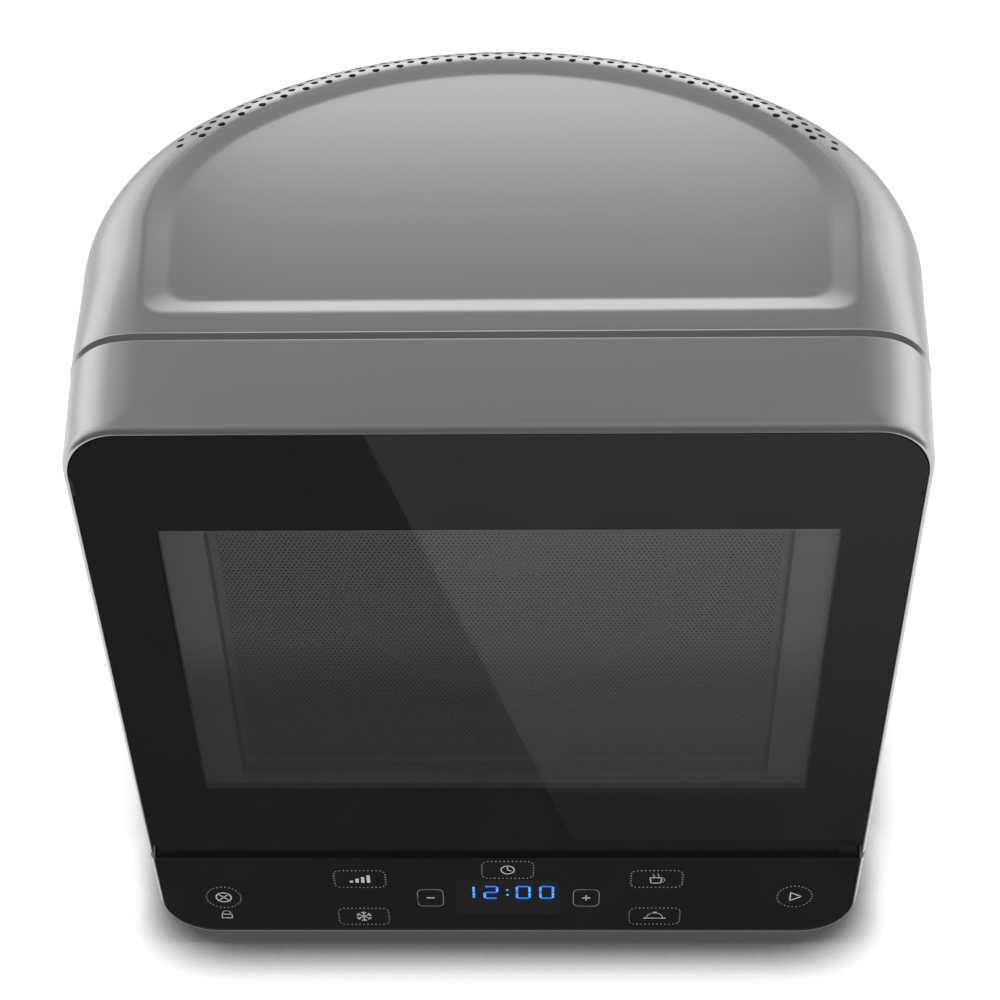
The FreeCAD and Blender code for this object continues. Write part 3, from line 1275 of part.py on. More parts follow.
def build():
    """All pieces of the oven by name."""
    bracket = interlock_bracket()
    hinge = hinge_bracket()
    hook = latch_hook()
    pieces = {
        "outer_case": outer_case(),
        "base_plate": base_plate(),
        "feet": feet(),
        "cord_gland": cord_gland(),
        "front_plate": front_plate(),
        "cavity_liner": cavity_liner(),
        "waveguide": waveguide(),
        "waveguide_cover": waveguide_cover(),
        "magnetron": magnetron(),
        "thermal_cutout": thermal_cutout(),
        "transformer": transformer(),
        "capacitor": capacitor(),
        "capacitor_clamp": capacitor_clamp(),
        "diode": diode(),
        "filter_board": filter_board(),
        "fan_shroud": fan_shroud(),
        "fan_motor": fan_motor(),
        "fan_blade": fan_blade(),
        "air_duct": air_duct(),
        "turntable_motor": turntable_motor(),
        "turntable_coupler": turntable_coupler(),
        "glass_tray": glass_tray(),
        "roller_ring": roller_ring(),
        "lamp_holder": lamp_holder(),
        "lamp_bulb": lamp_bulb(),
        "lamp_screen": lamp_screen(),
        "interlock_bracket_right": bracket,
        "interlock_bracket_left": mirrored(bracket),
        "interlock_switches": interlock_switches(),
        "hinge_bracket_right": hinge,
        "hinge_bracket_left": mirrored(hinge),
        "hinge_pins": hinge_pins(),
        "control_housing": control_housing(),
        "control_carrier": control_carrier(),
        "control_glass": control_glass(),
        "display_module": display_module(),
        "control_board": control_board(),
        "door_shell": door_shell(),
        "door_glass": door_glass(),
        "door_frame": door_frame(),
        "door_screen": door_screen(),
        "choke_cover": choke_cover(),
        "window_film": window_film(),
        "latch_right": hook,
        "latch_left": mirrored(hook),
        "latch_springs": latch_springs(),
    }
    for step in range(WHEEL_COUNT):
        pieces["roller_wheel_%d" % (step + 1)] = roller_wheel(step)
    return pieces


os.makedirs("parts", exist_ok=True)
for name, shape in build().items():
    shape.exportStep("parts/" + name + ".step")
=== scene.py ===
import json
from math import acos, asin, atan2, copysign, cos, dist, hypot, pi, radians, sin, sqrt, tan

import bmesh
import bpy
from mathutils import Matrix, Vector


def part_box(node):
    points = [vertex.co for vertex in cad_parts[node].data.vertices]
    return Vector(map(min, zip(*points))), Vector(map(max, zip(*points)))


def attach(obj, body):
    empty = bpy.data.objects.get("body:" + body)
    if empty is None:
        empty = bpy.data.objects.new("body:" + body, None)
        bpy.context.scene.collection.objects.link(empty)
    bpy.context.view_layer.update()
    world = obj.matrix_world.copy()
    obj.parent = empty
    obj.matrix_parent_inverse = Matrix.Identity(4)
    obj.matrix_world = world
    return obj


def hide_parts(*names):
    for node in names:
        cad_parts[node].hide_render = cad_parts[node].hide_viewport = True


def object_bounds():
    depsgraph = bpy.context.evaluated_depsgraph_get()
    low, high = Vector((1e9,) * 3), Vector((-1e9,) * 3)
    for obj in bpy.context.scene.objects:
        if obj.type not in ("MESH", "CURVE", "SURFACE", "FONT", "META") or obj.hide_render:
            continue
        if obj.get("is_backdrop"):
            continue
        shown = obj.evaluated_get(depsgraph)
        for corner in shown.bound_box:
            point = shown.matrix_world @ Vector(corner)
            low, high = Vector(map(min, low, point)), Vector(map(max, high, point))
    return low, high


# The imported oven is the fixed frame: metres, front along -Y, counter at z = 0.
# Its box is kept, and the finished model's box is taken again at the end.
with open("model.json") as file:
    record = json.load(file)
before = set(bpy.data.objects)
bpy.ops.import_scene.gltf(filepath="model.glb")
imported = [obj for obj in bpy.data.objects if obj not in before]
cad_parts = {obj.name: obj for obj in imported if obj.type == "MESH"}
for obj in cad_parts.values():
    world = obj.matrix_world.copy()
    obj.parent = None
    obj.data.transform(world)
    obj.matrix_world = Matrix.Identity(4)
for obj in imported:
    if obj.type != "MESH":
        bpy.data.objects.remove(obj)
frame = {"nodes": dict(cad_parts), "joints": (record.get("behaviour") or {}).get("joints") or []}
cad_low, cad_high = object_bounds()
nodes = frame["nodes"]
FRONT_Y = cad_low.y
TOP_Z = cad_high.z


# Base: a bottom pan of zinc-coated sheet with an upturned rim, standing on four rubber feet.
# The zinc shows a faint crystal pattern, and the same sheet is used for ducts and brackets inside.
# The feet are moulded, with a rounded edge and a hollow sole, and are fixed under the pan.

class Wiring:
    """Short ways to add and join the nodes of a tree."""

    def __init__(self, tree):
        self.tree = tree

    def feed(self, socket, value):
        """Give an input a constant, or join it to another node's output."""
        if isinstance(value, bpy.types.NodeSocket):
            self.tree.links.new(value, socket)
        else:
            socket.default_value = value

    def node(self, kind, *values, **settings):
        """New node with its settings, and what goes into its first inputs."""
        made = self.tree.nodes.new(kind)
        for label, value in settings.items():
            setattr(made, label, value)
        for socket, value in zip(made.inputs, values):
            self.feed(socket, value)
        return made

    def math(self, operation, first, second=0.0):
        """One sum on two numbers or sockets."""
        return self.node("ShaderNodeMath", first, second, operation=operation).outputs["Value"]

    def span(self, source, low, high, start=0.0, end=1.0, kind="LINEAR"):
        """Number that runs from low to high while a source runs from start to end."""
        made = self.node("ShaderNodeMapRange", source, start, end, low, high, interpolation_type=kind)
        return made.outputs["Result"]

    def mix(self, share, first, second, sort="VALUE"):
        """Number, or colour for the sort RGBA, at a share of the way from one to another."""
        made = self.node("ShaderNodeMix", share, data_type="RGBA" if sort == "RGBA" else "FLOAT")
        for label, value in (("A", first), ("B", second)):
            self.feed([s for s in made.inputs if s.name == label and s.type == sort][0], value)
        return [s for s in made.outputs if s.type == sort][0]

    def space(self, kind="Object"):
        """The piece's own space, or another kind of texture space."""
        return self.node("ShaderNodeTexCoord").outputs[kind]

    def place(self, kind="Object"):
        """The x, y and z in a texture space."""
        return list(self.node("ShaderNodeSeparateXYZ", self.space(kind)).outputs)


def grain_group():
    """Shared noise over the piece's own space, stretched by a scale in each direction."""
    group = bpy.data.node_groups.new("Grain", "ShaderNodeTree")
    sockets = (("Scale", "INPUT", "Vector"), ("Contrast", "INPUT", "Float"), ("Mask", "OUTPUT", "Float"))
    for label, way, kind in sockets:
        group.interface.new_socket(name=label, in_out=way, socket_type="NodeSocket" + kind)
    made = Wiring(group)
    given = made.node("NodeGroupInput").outputs
    stretched = made.node("ShaderNodeVectorMath", made.space(), given["Scale"], operation="MULTIPLY")
    cloud = made.node("ShaderNodeTexNoise", stretched.outputs["Vector"])
    cloud.inputs["Scale"].default_value = 1.0
    cloud.inputs["Detail"].default_value = 3.0
    centred = made.math("SUBTRACT", cloud.outputs["Fac"], 0.5)
    spread = made.node("ShaderNodeMath", centred, given["Contrast"], 0.5, operation="MULTIPLY_ADD",
                       use_clamp=True)
    made.node("NodeGroupOutput", spread.outputs["Value"])
    return group


GRAIN = grain_group()


class Finish(Wiring):
    """A material under construction, with its shader."""

    def __init__(self, name):
        self.material = bpy.data.materials.new(name)
        self.material.use_nodes = True
        super().__init__(self.material.node_tree)
        self.shader = self.tree.nodes["Principled BSDF"]

    def set(self, **values):
        """Give the shader's inputs constants or join them to other nodes."""
        for label, value in values.items():
            self.feed(self.shader.inputs[label.replace("_", " ")], value)

    def grain(self, scale, contrast=1.0):
        """Mask from the shared grain at a scale per metre."""
        scale = scale if isinstance(scale, tuple) else (scale,) * 3
        return self.node("ShaderNodeGroup", scale, contrast, node_tree=GRAIN).outputs["Mask"]

    def texture(self, kind, scale, **settings):
        """Outputs of a texture in the piece's own space, at a scale per metre."""
        made = self.node("ShaderNodeTex" + kind, self.space(), **settings)
        made.inputs["Scale"].default_value = scale
        return made.outputs

    def between(self, mask, first, second):
        """Colour that runs from one to another along a mask; a plain number is a grey."""
        ends = []
        for value in (first, second):
            if isinstance(value, float):
                value = (value,) * 3
            ends.append(value + (1.0,) if isinstance(value, tuple) else value)
        return self.mix(mask, ends[0], ends[1], "RGBA")

    def bump(self, mask, depth):
        """Relief of a depth in metres from a mask."""
        made = self.node("ShaderNodeBump")
        self.feed(made.inputs["Distance"], depth)
        self.feed(made.inputs["Height"], mask)
        self.set(Normal=made.outputs["Normal"])

    def coat(self, colour, gloss, low, high, relief, depth, **more):
        """Colour, roughness from low to high along a mask, and relief; gives back the material."""
        self.set(Base_Color=colour, Roughness=self.span(gloss, low, high), **more)
        self.bump(relief, depth)
        return self.material


def dress(material, *names):
    """Give CAD nodes a material."""
    for name in names:
        slots = nodes[name].material_slots
        if slots:
            for slot in slots:
                slot.material = material
        else:
            nodes[name].data.materials.append(material)


def plain_finish(name, dark, light, rough, scale, relief, metallic=0.0):
    """Moulded, pressed or plated surface with a fine grain in colour, gloss and relief."""
    made = Finish(name)
    mask = made.grain(scale, 1.6)
    tone = made.between(mask, dark, light)
    return made.coat(tone, mask, rough - 0.06, rough + 0.06, mask, relief, Metallic=metallic)


def zinc_finish():
    """Zinc-coated sheet: grey crystals of slightly different tone and gloss."""
    made = Finish("zinc_sheet")
    crystals = made.texture("Voronoi", 160.0)["Color"]
    share = made.node("ShaderNodeSeparateColor", crystals).outputs
    tone = made.between(share["Red"], (0.46, 0.47, 0.48), (0.62, 0.63, 0.64))
    return made.coat(tone, share["Green"], 0.3, 0.5, made.grain(900.0), 0.00004, Metallic=1.0)


ZINC = zinc_finish()
dress(ZINC, "base_plate", "waveguide", "capacitor_clamp", "lamp_holder", "lamp_screen", "turntable_motor")
SHARP_ANGLE = 35.0


def placed(name, data):
    """Object in the scene for a mesh, a lamp or a camera."""
    made = bpy.data.objects.new(name, data)
    bpy.context.scene.collection.objects.link(made)
    return made


def meshed(name, points, faces):
    """Object with a mesh of its own."""
    mesh = bpy.data.meshes.new(name)
    mesh.from_pydata([tuple(point) for point in points], [], faces)
    return placed(name, mesh)


def weld(mesh, reach):
    """Join points that lie together, and turn the faces one way."""
    edit = bmesh.new()
    edit.from_mesh(mesh)
    bmesh.ops.remove_doubles(edit, verts=edit.verts, dist=reach)
    bmesh.ops.recalc_face_normals(edit, faces=edit.faces)
    edit.to_mesh(mesh)
    edit.free()


def smooth(mesh, sharp=SHARP_ANGLE):
    """Smooth shading, with edges above an angle left sharp."""
    mesh.shade_smooth()
    mesh.set_sharp_from_angle(angle=radians(sharp))


class Skin:
    """Points and faces of a piece, added row by row."""

    def __init__(self):
        self.points = []
        self.faces = []

    def row(self, points):
        """Add a row and give back its numbers."""
        start = len(self.points)
        self.points += points
        return list(range(start, start + len(points)))

    def join(self, rows, closed=False):
        """Faces between each row and the next; closed rows run round to their start."""
        for first, second in zip(rows, rows[1:]):
            count = len(first)
            for k in range(count if closed else count - 1):
                after = (k + 1) % count
                self.faces.append((first[k], first[after], second[after], second[k]))

    def piece(self, name, body, material, slot, sharp=SHARP_ANGLE):
        """Smooth mesh object that rides on a body."""
        made = meshed(name, self.points, self.faces)
        weld(made.data, 1e-6)
        smooth(made.data, sharp)
        made.data.materials.append(material)
        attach(made, body)
        return made


def leans(steps, last=pi / 2):
    """Angles in even steps from nothing to a last one."""
    return [last * step / steps for step in range(steps + 1)]


def turned(profile, centre, axis, steps, ring=False, skin=None):
    """Profile of (radius, run) turned round an axis, on a new or given skin; a ring's profile closes."""
    skin = skin or Skin()
    along = Vector(axis).normalized()
    across = along.orthogonal().normalized()
    up = along.cross(across)
    spokes = [across * cos(turn) + up * sin(turn) for turn in leans(steps, 2 * pi)[:-1]]
    rows = []
    for radius, run in profile:
        rows.append(skin.row([Vector(centre) + along * run + out * radius for out in spokes]))
    skin.join(rows + rows[:1] if ring else rows, True)
    for end in (0, -1):
        if profile[end][0] > 0 and not ring:
            skin.faces.append(tuple(rows[end]))
    return skin


def rounded_corner(radius, run, round_off, inward):
    """Quarter round on a turned profile, from the rim's side to its end face."""
    return [(radius - round_off * (1 - cos(lean)), run + inward * round_off * sin(lean))
            for lean in leans(5)]


RUBBER = plain_finish("rubber", 0.012, 0.03, 0.75, 1500.0, 0.00008)
FOOT_RADIUS = 0.012
FOOT_EDGE = 0.0022
SOLE_HOLLOW = 0.0015
SOLE_INNER = 0.55 * FOOT_RADIUS
SOLE_OUTER = 0.62 * FOOT_RADIUS
BACK_FEET_X = 0.114
foot_low, foot_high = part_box("feet")
foot_profile = [(0.0, SOLE_HOLLOW), (SOLE_INNER, SOLE_HOLLOW), (SOLE_OUTER, 0.0)]
foot_profile += reversed(rounded_corner(FOOT_RADIUS, FOOT_EDGE, FOOT_EDGE, -1))
foot_profile.append((FOOT_RADIUS, foot_high.z))
foot_places = ((foot_high.x - FOOT_RADIUS, foot_low.y + FOOT_RADIUS),
               (BACK_FEET_X, foot_high.y - FOOT_RADIUS))
feet = []
for x, y in foot_places:
    for side in (-1, 1):
        skin = turned(foot_profile, (side * x, y, 0.0), (0, 0, 1), 40)
        feet.append(skin.piece("foot_%d" % (len(feet) + 1), "cabinet", RUBBER, "rubber"))
for foot in feet:
    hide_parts("feet")


# Cooking space: a steel box with a round back, coated in grey enamel with fine dark specks.
# The drawn front plate has the same coat. A mica sheet covers the microwave port.

def enamel_finish():
    """Grey enamel, slightly cloudy, with fine dark specks."""
    made = Finish("enamel")
    ground = made.between(made.grain(40.0, 1.2), (0.40, 0.40, 0.385), (0.47, 0.47, 0.455))
    specks = made.math("GREATER_THAN", made.grain(2600.0, 9.0), 0.93)
    tone = made.between(specks, ground, 0.1)
    return made.coat(tone, made.grain(60.0), 0.28, 0.4, made.grain(700.0), 0.00005)


ENAMEL = enamel_finish()
MICA = plain_finish("mica", (0.44, 0.38, 0.27), (0.66, 0.6, 0.48), 0.55, 220.0, 0.0001)
dress(ENAMEL, "front_plate", "cavity_liner")
dress(MICA, "waveguide_cover")


# Power parts in the bay below the cooking space: bolted or clamped to the base.
# Varnished iron with wound coils, drawn aluminium, green boards, black mouldings and a white fan.

COIL_REACH = 0.0148
BLACK_DARK = (0.011, 0.011, 0.012)
BLACK_LIGHT = (0.021, 0.021, 0.022)


def wound_iron_finish():
    """Stacked laminations, with wound copper where the coils stand out of the core."""
    made = Finish("wound_iron")
    low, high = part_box("transformer")
    away = made.math("ABSOLUTE", made.math("SUBTRACT", made.place()[1], (low.y + high.y) / 2))
    coil = made.math("GREATER_THAN", away, (high.y - low.y) / 2 - COIL_REACH)
    sheets = made.texture("Wave", 320.0, wave_type="BANDS", bands_direction="X")["Fac"]
    iron = made.between(sheets, (0.05, 0.05, 0.055), (0.16, 0.16, 0.17))
    copper = made.between(sheets, (0.2, 0.07, 0.03), (0.42, 0.17, 0.08))
    return made.coat(made.between(coil, iron, copper), sheets, 0.35, 0.55, sheets, 0.0002, Metallic=0.6)


def board_finish():
    """Circuit board: green mask with paler tracks."""
    made = Finish("circuit_board")
    bricks = made.node("ShaderNodeTexBrick", made.space())
    bricks.inputs["Scale"].default_value = 90.0
    bricks.inputs["Mortar Size"].default_value = 0.06
    tracks = bricks.outputs["Fac"]
    green = made.between(tracks, (0.012, 0.11, 0.045), (0.05, 0.22, 0.1))
    return made.coat(green, made.grain(500.0), 0.3, 0.45, tracks, 0.00006)


WOUND_IRON = wound_iron_finish()
BOARD = board_finish()
BLACK_MOULDING = plain_finish("black_moulding", BLACK_DARK, BLACK_LIGHT, 0.48, 1700.0, 0.00006)
WHITE_MOULDING = plain_finish("white_moulding", (0.74, 0.74, 0.71), (0.83, 0.83, 0.8), 0.42, 900.0,
                              0.00004)
DRAWN_CAN = plain_finish("drawn_aluminium", (0.6, 0.61, 0.62), (0.78, 0.79, 0.8), 0.34,
                         (900.0, 40.0, 900.0), 0.00003, 1.0)
dress(WOUND_IRON, "transformer", "fan_motor")
dress(BOARD, "filter_board", "control_board")
dress(BLACK_MOULDING, "thermal_cutout", "diode")
dress(DRAWN_CAN, "capacitor", "magnetron")
dress(WHITE_MOULDING, "fan_shroud", "fan_blade", "air_duct")


# Turntable: a pressed glass tray on a moulded coupler, running on a ring with three rollers.
# The tray has a raised rim and a fine ripple; the rollers have a rounded tread and a hub recess.

TRAY_THICK = 0.0042
TRAY_SLOPE = 0.011
WHEEL_RADIUS = 0.007
WHEEL_WIDE = 0.007
WHEEL_EDGE = 0.0012
WHEEL_RECESS = 0.0009
AXLE = 0.00205
HUB = 0.001


def clear_glass(name, colour, ripple):
    """Clear glass with a faint ripple."""
    made = Finish(name)
    made.set(Base_Color=colour + (1.0,), Roughness=0.03, IOR=1.5, Transmission_Weight=1.0)
    made.bump(made.grain(120.0), ripple)
    return made.material


TRAY_GLASS = clear_glass("tray_glass", (0.88, 0.95, 0.92), 0.0001)
tray_low, tray_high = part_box("glass_tray")
table = (tray_low + tray_high) / 2
tray_radius = (tray_high.x - tray_low.x) / 2
well = tray_radius - TRAY_SLOPE
rim_z = tray_high.z - tray_low.z
tray_profile = [
    (0.0, 0.0), (well - 0.004, 0.0), (well, 0.0008), (tray_radius - 0.002, rim_z * 0.66),
    (tray_radius, rim_z * 0.88), (tray_radius - 0.0004, rim_z - 0.0006), (tray_radius - 0.0016, rim_z),
    (tray_radius - 0.003, rim_z - 0.0006), (tray_radius - 0.0045, rim_z * 0.8),
    (well - 0.002, TRAY_THICK + 0.0012), (well - 0.007, TRAY_THICK), (0.0, TRAY_THICK),
]
skin = turned(tray_profile, (table.x, table.y, tray_low.z), (0, 0, 1), 96)
tray = skin.piece("turntable_tray", "turntable", TRAY_GLASS, "tray_glass", 60.0)
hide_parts("glass_tray")

half = WHEEL_WIDE / 2
floor_run = half - WHEEL_RECESS
wheel_right = rounded_corner(WHEEL_RADIUS, half - WHEEL_EDGE, WHEEL_EDGE, 1)
wheel_right += [(WHEEL_RADIUS * 0.72, half), (WHEEL_RADIUS * 0.66, floor_run),
                (AXLE + 1.2 * HUB, floor_run), (AXLE + HUB, half), (AXLE, half)]
wheel_profile = [(radius, -run) for radius, run in reversed(wheel_right)] + wheel_right
for joint in frame["joints"]:
    body = joint["child"]
    if body.startswith("roller_wheel"):
        skin = turned(wheel_profile, joint["pos_m"], joint["axis"], 48, ring=True)
        wheel = skin.piece(body + "_tread", body, WHITE_MOULDING, "white_plastic")
        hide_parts(body)
dress(WHITE_MOULDING, "turntable_coupler", "roller_ring")


# Cavity lamp: a small clear bulb that stands in a sheet box on the cavity's left wall.
# A plain sheet of the same zinc-coated steel closes the box towards the cavity.

BULB_GLASS = clear_glass("bulb_glass", (0.97, 0.95, 0.88), 0.00002)
dress(BULB_GLASS, "lamp_bulb")


# Door locks and hinges: white moulded brackets screwed to the front plate carry the door switches.
# Black moulded ears below the door hold two plated pins, on which its lower corners turn.

PLATED = plain_finish("plated_steel", (0.5, 0.5, 0.51), (0.66, 0.66, 0.67), 0.3,
                      (300.0, 1400.0, 300.0), 0.00003, 1.0)
dress(WHITE_MOULDING, "interlock_bracket_left", "interlock_bracket_right")
dress(BLACK_MOULDING, "interlock_switches", "hinge_bracket_left", "hinge_bracket_right")
dress(PLATED, "hinge_pins")


# Outer case: one steel sheet bent round the back and drawn over the top edge, in satin silver paint.
# A shallow pan with the case's own outline is pressed into the top, and staggered rows of holes are
# punched round its back edge. The front edge is rolled and stepped in below the door band.

HALF_FRONT = 0.179
WIDEST = 0.154
SIDE_BEND = 0.146
BEND_X = 0.050
BACK_RADIUS = 0.2185
CASE_FRONT = 0.063
CASE_LOW = 0.010
CASE_ROUND = 0.038
CASE_WALL = 0.0012
SEAM_ROUND = 0.0265
ROUND_RUN = 0.080
ROUND_EASE = radians(10)
TURN_SLACK = 0.001
SEAM_EASE = 0.008
BEAD_WIDE = 0.0011
BEAD_DIP = 0.00024
EDGE_ROLL = 0.0004
GROOVE_DEEP = 0.0038
EDGE_LIP = 0.004
EDGE_INSET = 0.026
PAN_RIM = 0.033
PAN_SLOPE = 0.012
PAN_FRONT_RIM = 0.015
PAN_FRONT_SLOPE = 0.0105
PAN_DEPTH = 0.0025
PAN_CORNER = 0.012
PAN_SOFT = 0.16
PAN_SHARES = (-0.4, -0.16, -0.1, -0.05, 0.0, 0.05, 0.1, 0.16, 0.5,
              0.84, 0.9, 0.95, 1.0, 1.05, 1.1, 1.16, 1.4)
VENT_RADIUS = 0.0019
VENT_PITCH = 0.0126
VENT_ROWS = 4
VENT_TRIES = 40
VENT_ROW_PITCH = 0.0035
VENT_START = 0.0058
VENT_REACH = 0.1580
VENT_SHIFT = 0.0036
VENT_ENDS = ((0.1702, 0.0066), (0.1820, 0.0116))
PUNCH_REACH = 0.004
GLAND_X = -0.070
GLAND_Z = 0.040
GLAND_HOLE = 0.0077
SIDE_HEIGHTS = (CASE_LOW, 0.08, 0.2)
SIDE_STEPS = 8
BEND_STEPS = 26
BACK_STEPS = 22
EDGE_STEPS = 13
CORNER_STEPS = 6
FRONT_STEPS = 48
bend_y = FRONT_Y + WIDEST
back_y = cad_high.y - BACK_RADIUS
back_turn = atan2(BEND_X, bend_y - back_y)
side_run = HALF_FRONT - BEND_X
flare = atan2(WIDEST, side_run) - acos(SIDE_BEND / hypot(side_run, WIDEST))


def silver_finish():
    """Satin silver paint: fine metal flake, and faint streaks along the width."""
    made = Finish("silver_paint")
    flake = made.grain(5200.0, 2.2)
    streaks = made.grain((5.0, 1100.0, 1100.0), 1.5)
    tone = made.between(made.span(streaks, 0.0, 0.2), made.between(flake, 0.51, 0.58), 0.49)
    relief = made.math("ADD", flake, streaks)
    return made.coat(tone, streaks, 0.27, 0.33, relief, 0.000006, Metallic=0.94)


def half_width(depth, inset=0.0):
    """Half of the oven's width at a depth from the front, on its straight flaring sides."""
    bend = SIDE_BEND - inset
    side_x = BEND_X + bend * cos(flare)
    side_y = bend_y - bend * sin(flare)
    return side_x - (side_y - FRONT_Y - depth) * tan(flare)


def arc(x, y, radius, first, last, steps):
    """Points on an arc between two angles."""
    return [(x + radius * cos(first + turn), y + radius * sin(first + turn))
            for turn in leans(steps, last - first)]


def part_way(first, last, share):
    """Point at a share of the way between two points."""
    return tuple(a + (b - a) * share for a, b in zip(first, last))


def plan_path(inset, front, corner=None):
    """Outline of the oven from above, right front round the back to left front, at an inset."""
    start_x = half_width(front, inset)
    start_y = FRONT_Y + front
    right = []
    run = 0.0
    if corner is not None:
        run = corner / tan((pi / 2 + flare) / 2)
        right += arc(start_x - run, start_y + corner, corner, -pi / 2, -flare, CORNER_STEPS)
    bend = SIDE_BEND - inset
    first = (start_x + run * sin(flare), start_y + run * cos(flare))
    last = (BEND_X + bend * cos(flare), bend_y - bend * sin(flare))
    line = [part_way(first, last, step / SIDE_STEPS) for step in range(SIDE_STEPS + 1)]
    right += line[1:] if corner is not None else line
    right += arc(BEND_X, bend_y, bend, -flare, pi / 2 - back_turn, BEND_STEPS)[1:]
    right += arc(0.0, back_y, BACK_RADIUS - inset, pi / 2 - back_turn, pi / 2, BACK_STEPS)[1:]
    return right + [(-x, y) for x, y in reversed(right[:-1])]


def closed_plan(outline, depth):
    """Outline from above, closed by a straight front edge with its points closer towards the ends."""
    half = outline[0][0]
    return outline + [(-half * cos(turn), FRONT_Y + depth) for turn in leans(FRONT_STEPS, pi)[1:-1]]


def smooth_share(value, start, run):
    """Share from 0 to 1 of a run that starts and ends gently."""
    share = min(max((value - start) / run, 0.0), 1.0)
    return share ** 2 * (3 - 2 * share)


def ease_part(radius, ease):
    """Inset where the drawn-out last degrees of a soft round start, and their run."""
    return radius * (1 - sin(ROUND_EASE)), radius * sin(ROUND_EASE) + ease


def round_drop(inset, radius, ease):
    """Drop of a soft round below the top at an inset; its last degrees are drawn out by an ease."""
    start, run = ease_part(radius, ease)
    rest = run * tan(ROUND_EASE) / 2
    if inset >= start:
        return rest * max(1 - (inset - start) / run, 0.0) ** 2
    return rest + radius * cos(ROUND_EASE) - sqrt(radius ** 2 - (radius - inset) ** 2)


def round_place(lean, radius, ease):
    """Inset and drop on a soft round at a lean, from its side up to its top."""
    inset = radius * (1 - cos(lean))
    last = pi / 2 - ROUND_EASE
    if lean > last:
        start, run = ease_part(radius, ease)
        inset = start + run * (lean - last) / ROUND_EASE
    return inset, round_drop(inset, radius, ease)


def round_normal(inset, radius, ease):
    """Outward direction on a soft round, as its parts sideways and up."""
    start, run = ease_part(radius, ease)
    if inset < start:
        short = radius - inset
        return short / radius, sqrt(radius ** 2 - short ** 2) / radius
    tilt = ROUND_EASE * max(1 - (inset - start) / run, 0.0)
    return sin(tilt), cos(tilt)


def edge_round(y):
    """Radius and ease of the case's top edge at a y; the radius grows from the seam backwards."""
    share = smooth_share(y - FRONT_Y, CASE_FRONT, ROUND_RUN)
    return SEAM_ROUND + (CASE_ROUND - SEAM_ROUND) * share, SEAM_EASE * (1 - share)


def side_turn(x, y):
    """Angle of a place round the side bend's centre; below minus the flare it is on the straight side."""
    return atan2(y - bend_y, abs(x) - BEND_X)


def side_inset(x, y):
    """Distance of a place from the oven's outline, seen from above."""
    turn = side_turn(x, y)
    if turn < -flare:
        return max((half_width(y - FRONT_Y) - abs(x)) * cos(flare), 0.0)
    if turn < pi / 2 - back_turn:
        return max(SIDE_BEND - hypot(abs(x) - BEND_X, y - bend_y), 0.0)
    return max(BACK_RADIUS - hypot(x, y - back_y), 0.0)


def edge_row(lean, front):
    """Row of points at a lean round the case's top edge, right front to left front."""
    points = []
    for x, y in plan_path(CASE_ROUND * (1 - cos(lean)), front):
        inset, drop = round_place(lean, *edge_round(y))
        turn = side_turn(x, y)
        if turn < -flare + TURN_SLACK:
            x = copysign(half_width(y - FRONT_Y, inset), x)
        elif turn < pi / 2 - back_turn:
            x = copysign(BEND_X + (SIDE_BEND - inset) * cos(turn), x)
            y = bend_y + (SIDE_BEND - inset) * sin(turn)
        points.append((x, y, TOP_Z - drop))
    return points


def soft_start(value):
    """Nothing below zero and the value above it, with a curve between the two."""
    if abs(value) < PAN_SOFT:
        return (value + PAN_SOFT) ** 2 / (4 * PAN_SOFT)
    return max(value, 0.0)


def pan_drop(share):
    """Depth of the pressed pan at a share of its slope, with soft edges."""
    return PAN_DEPTH * (soft_start(share) - soft_start(share - 1))


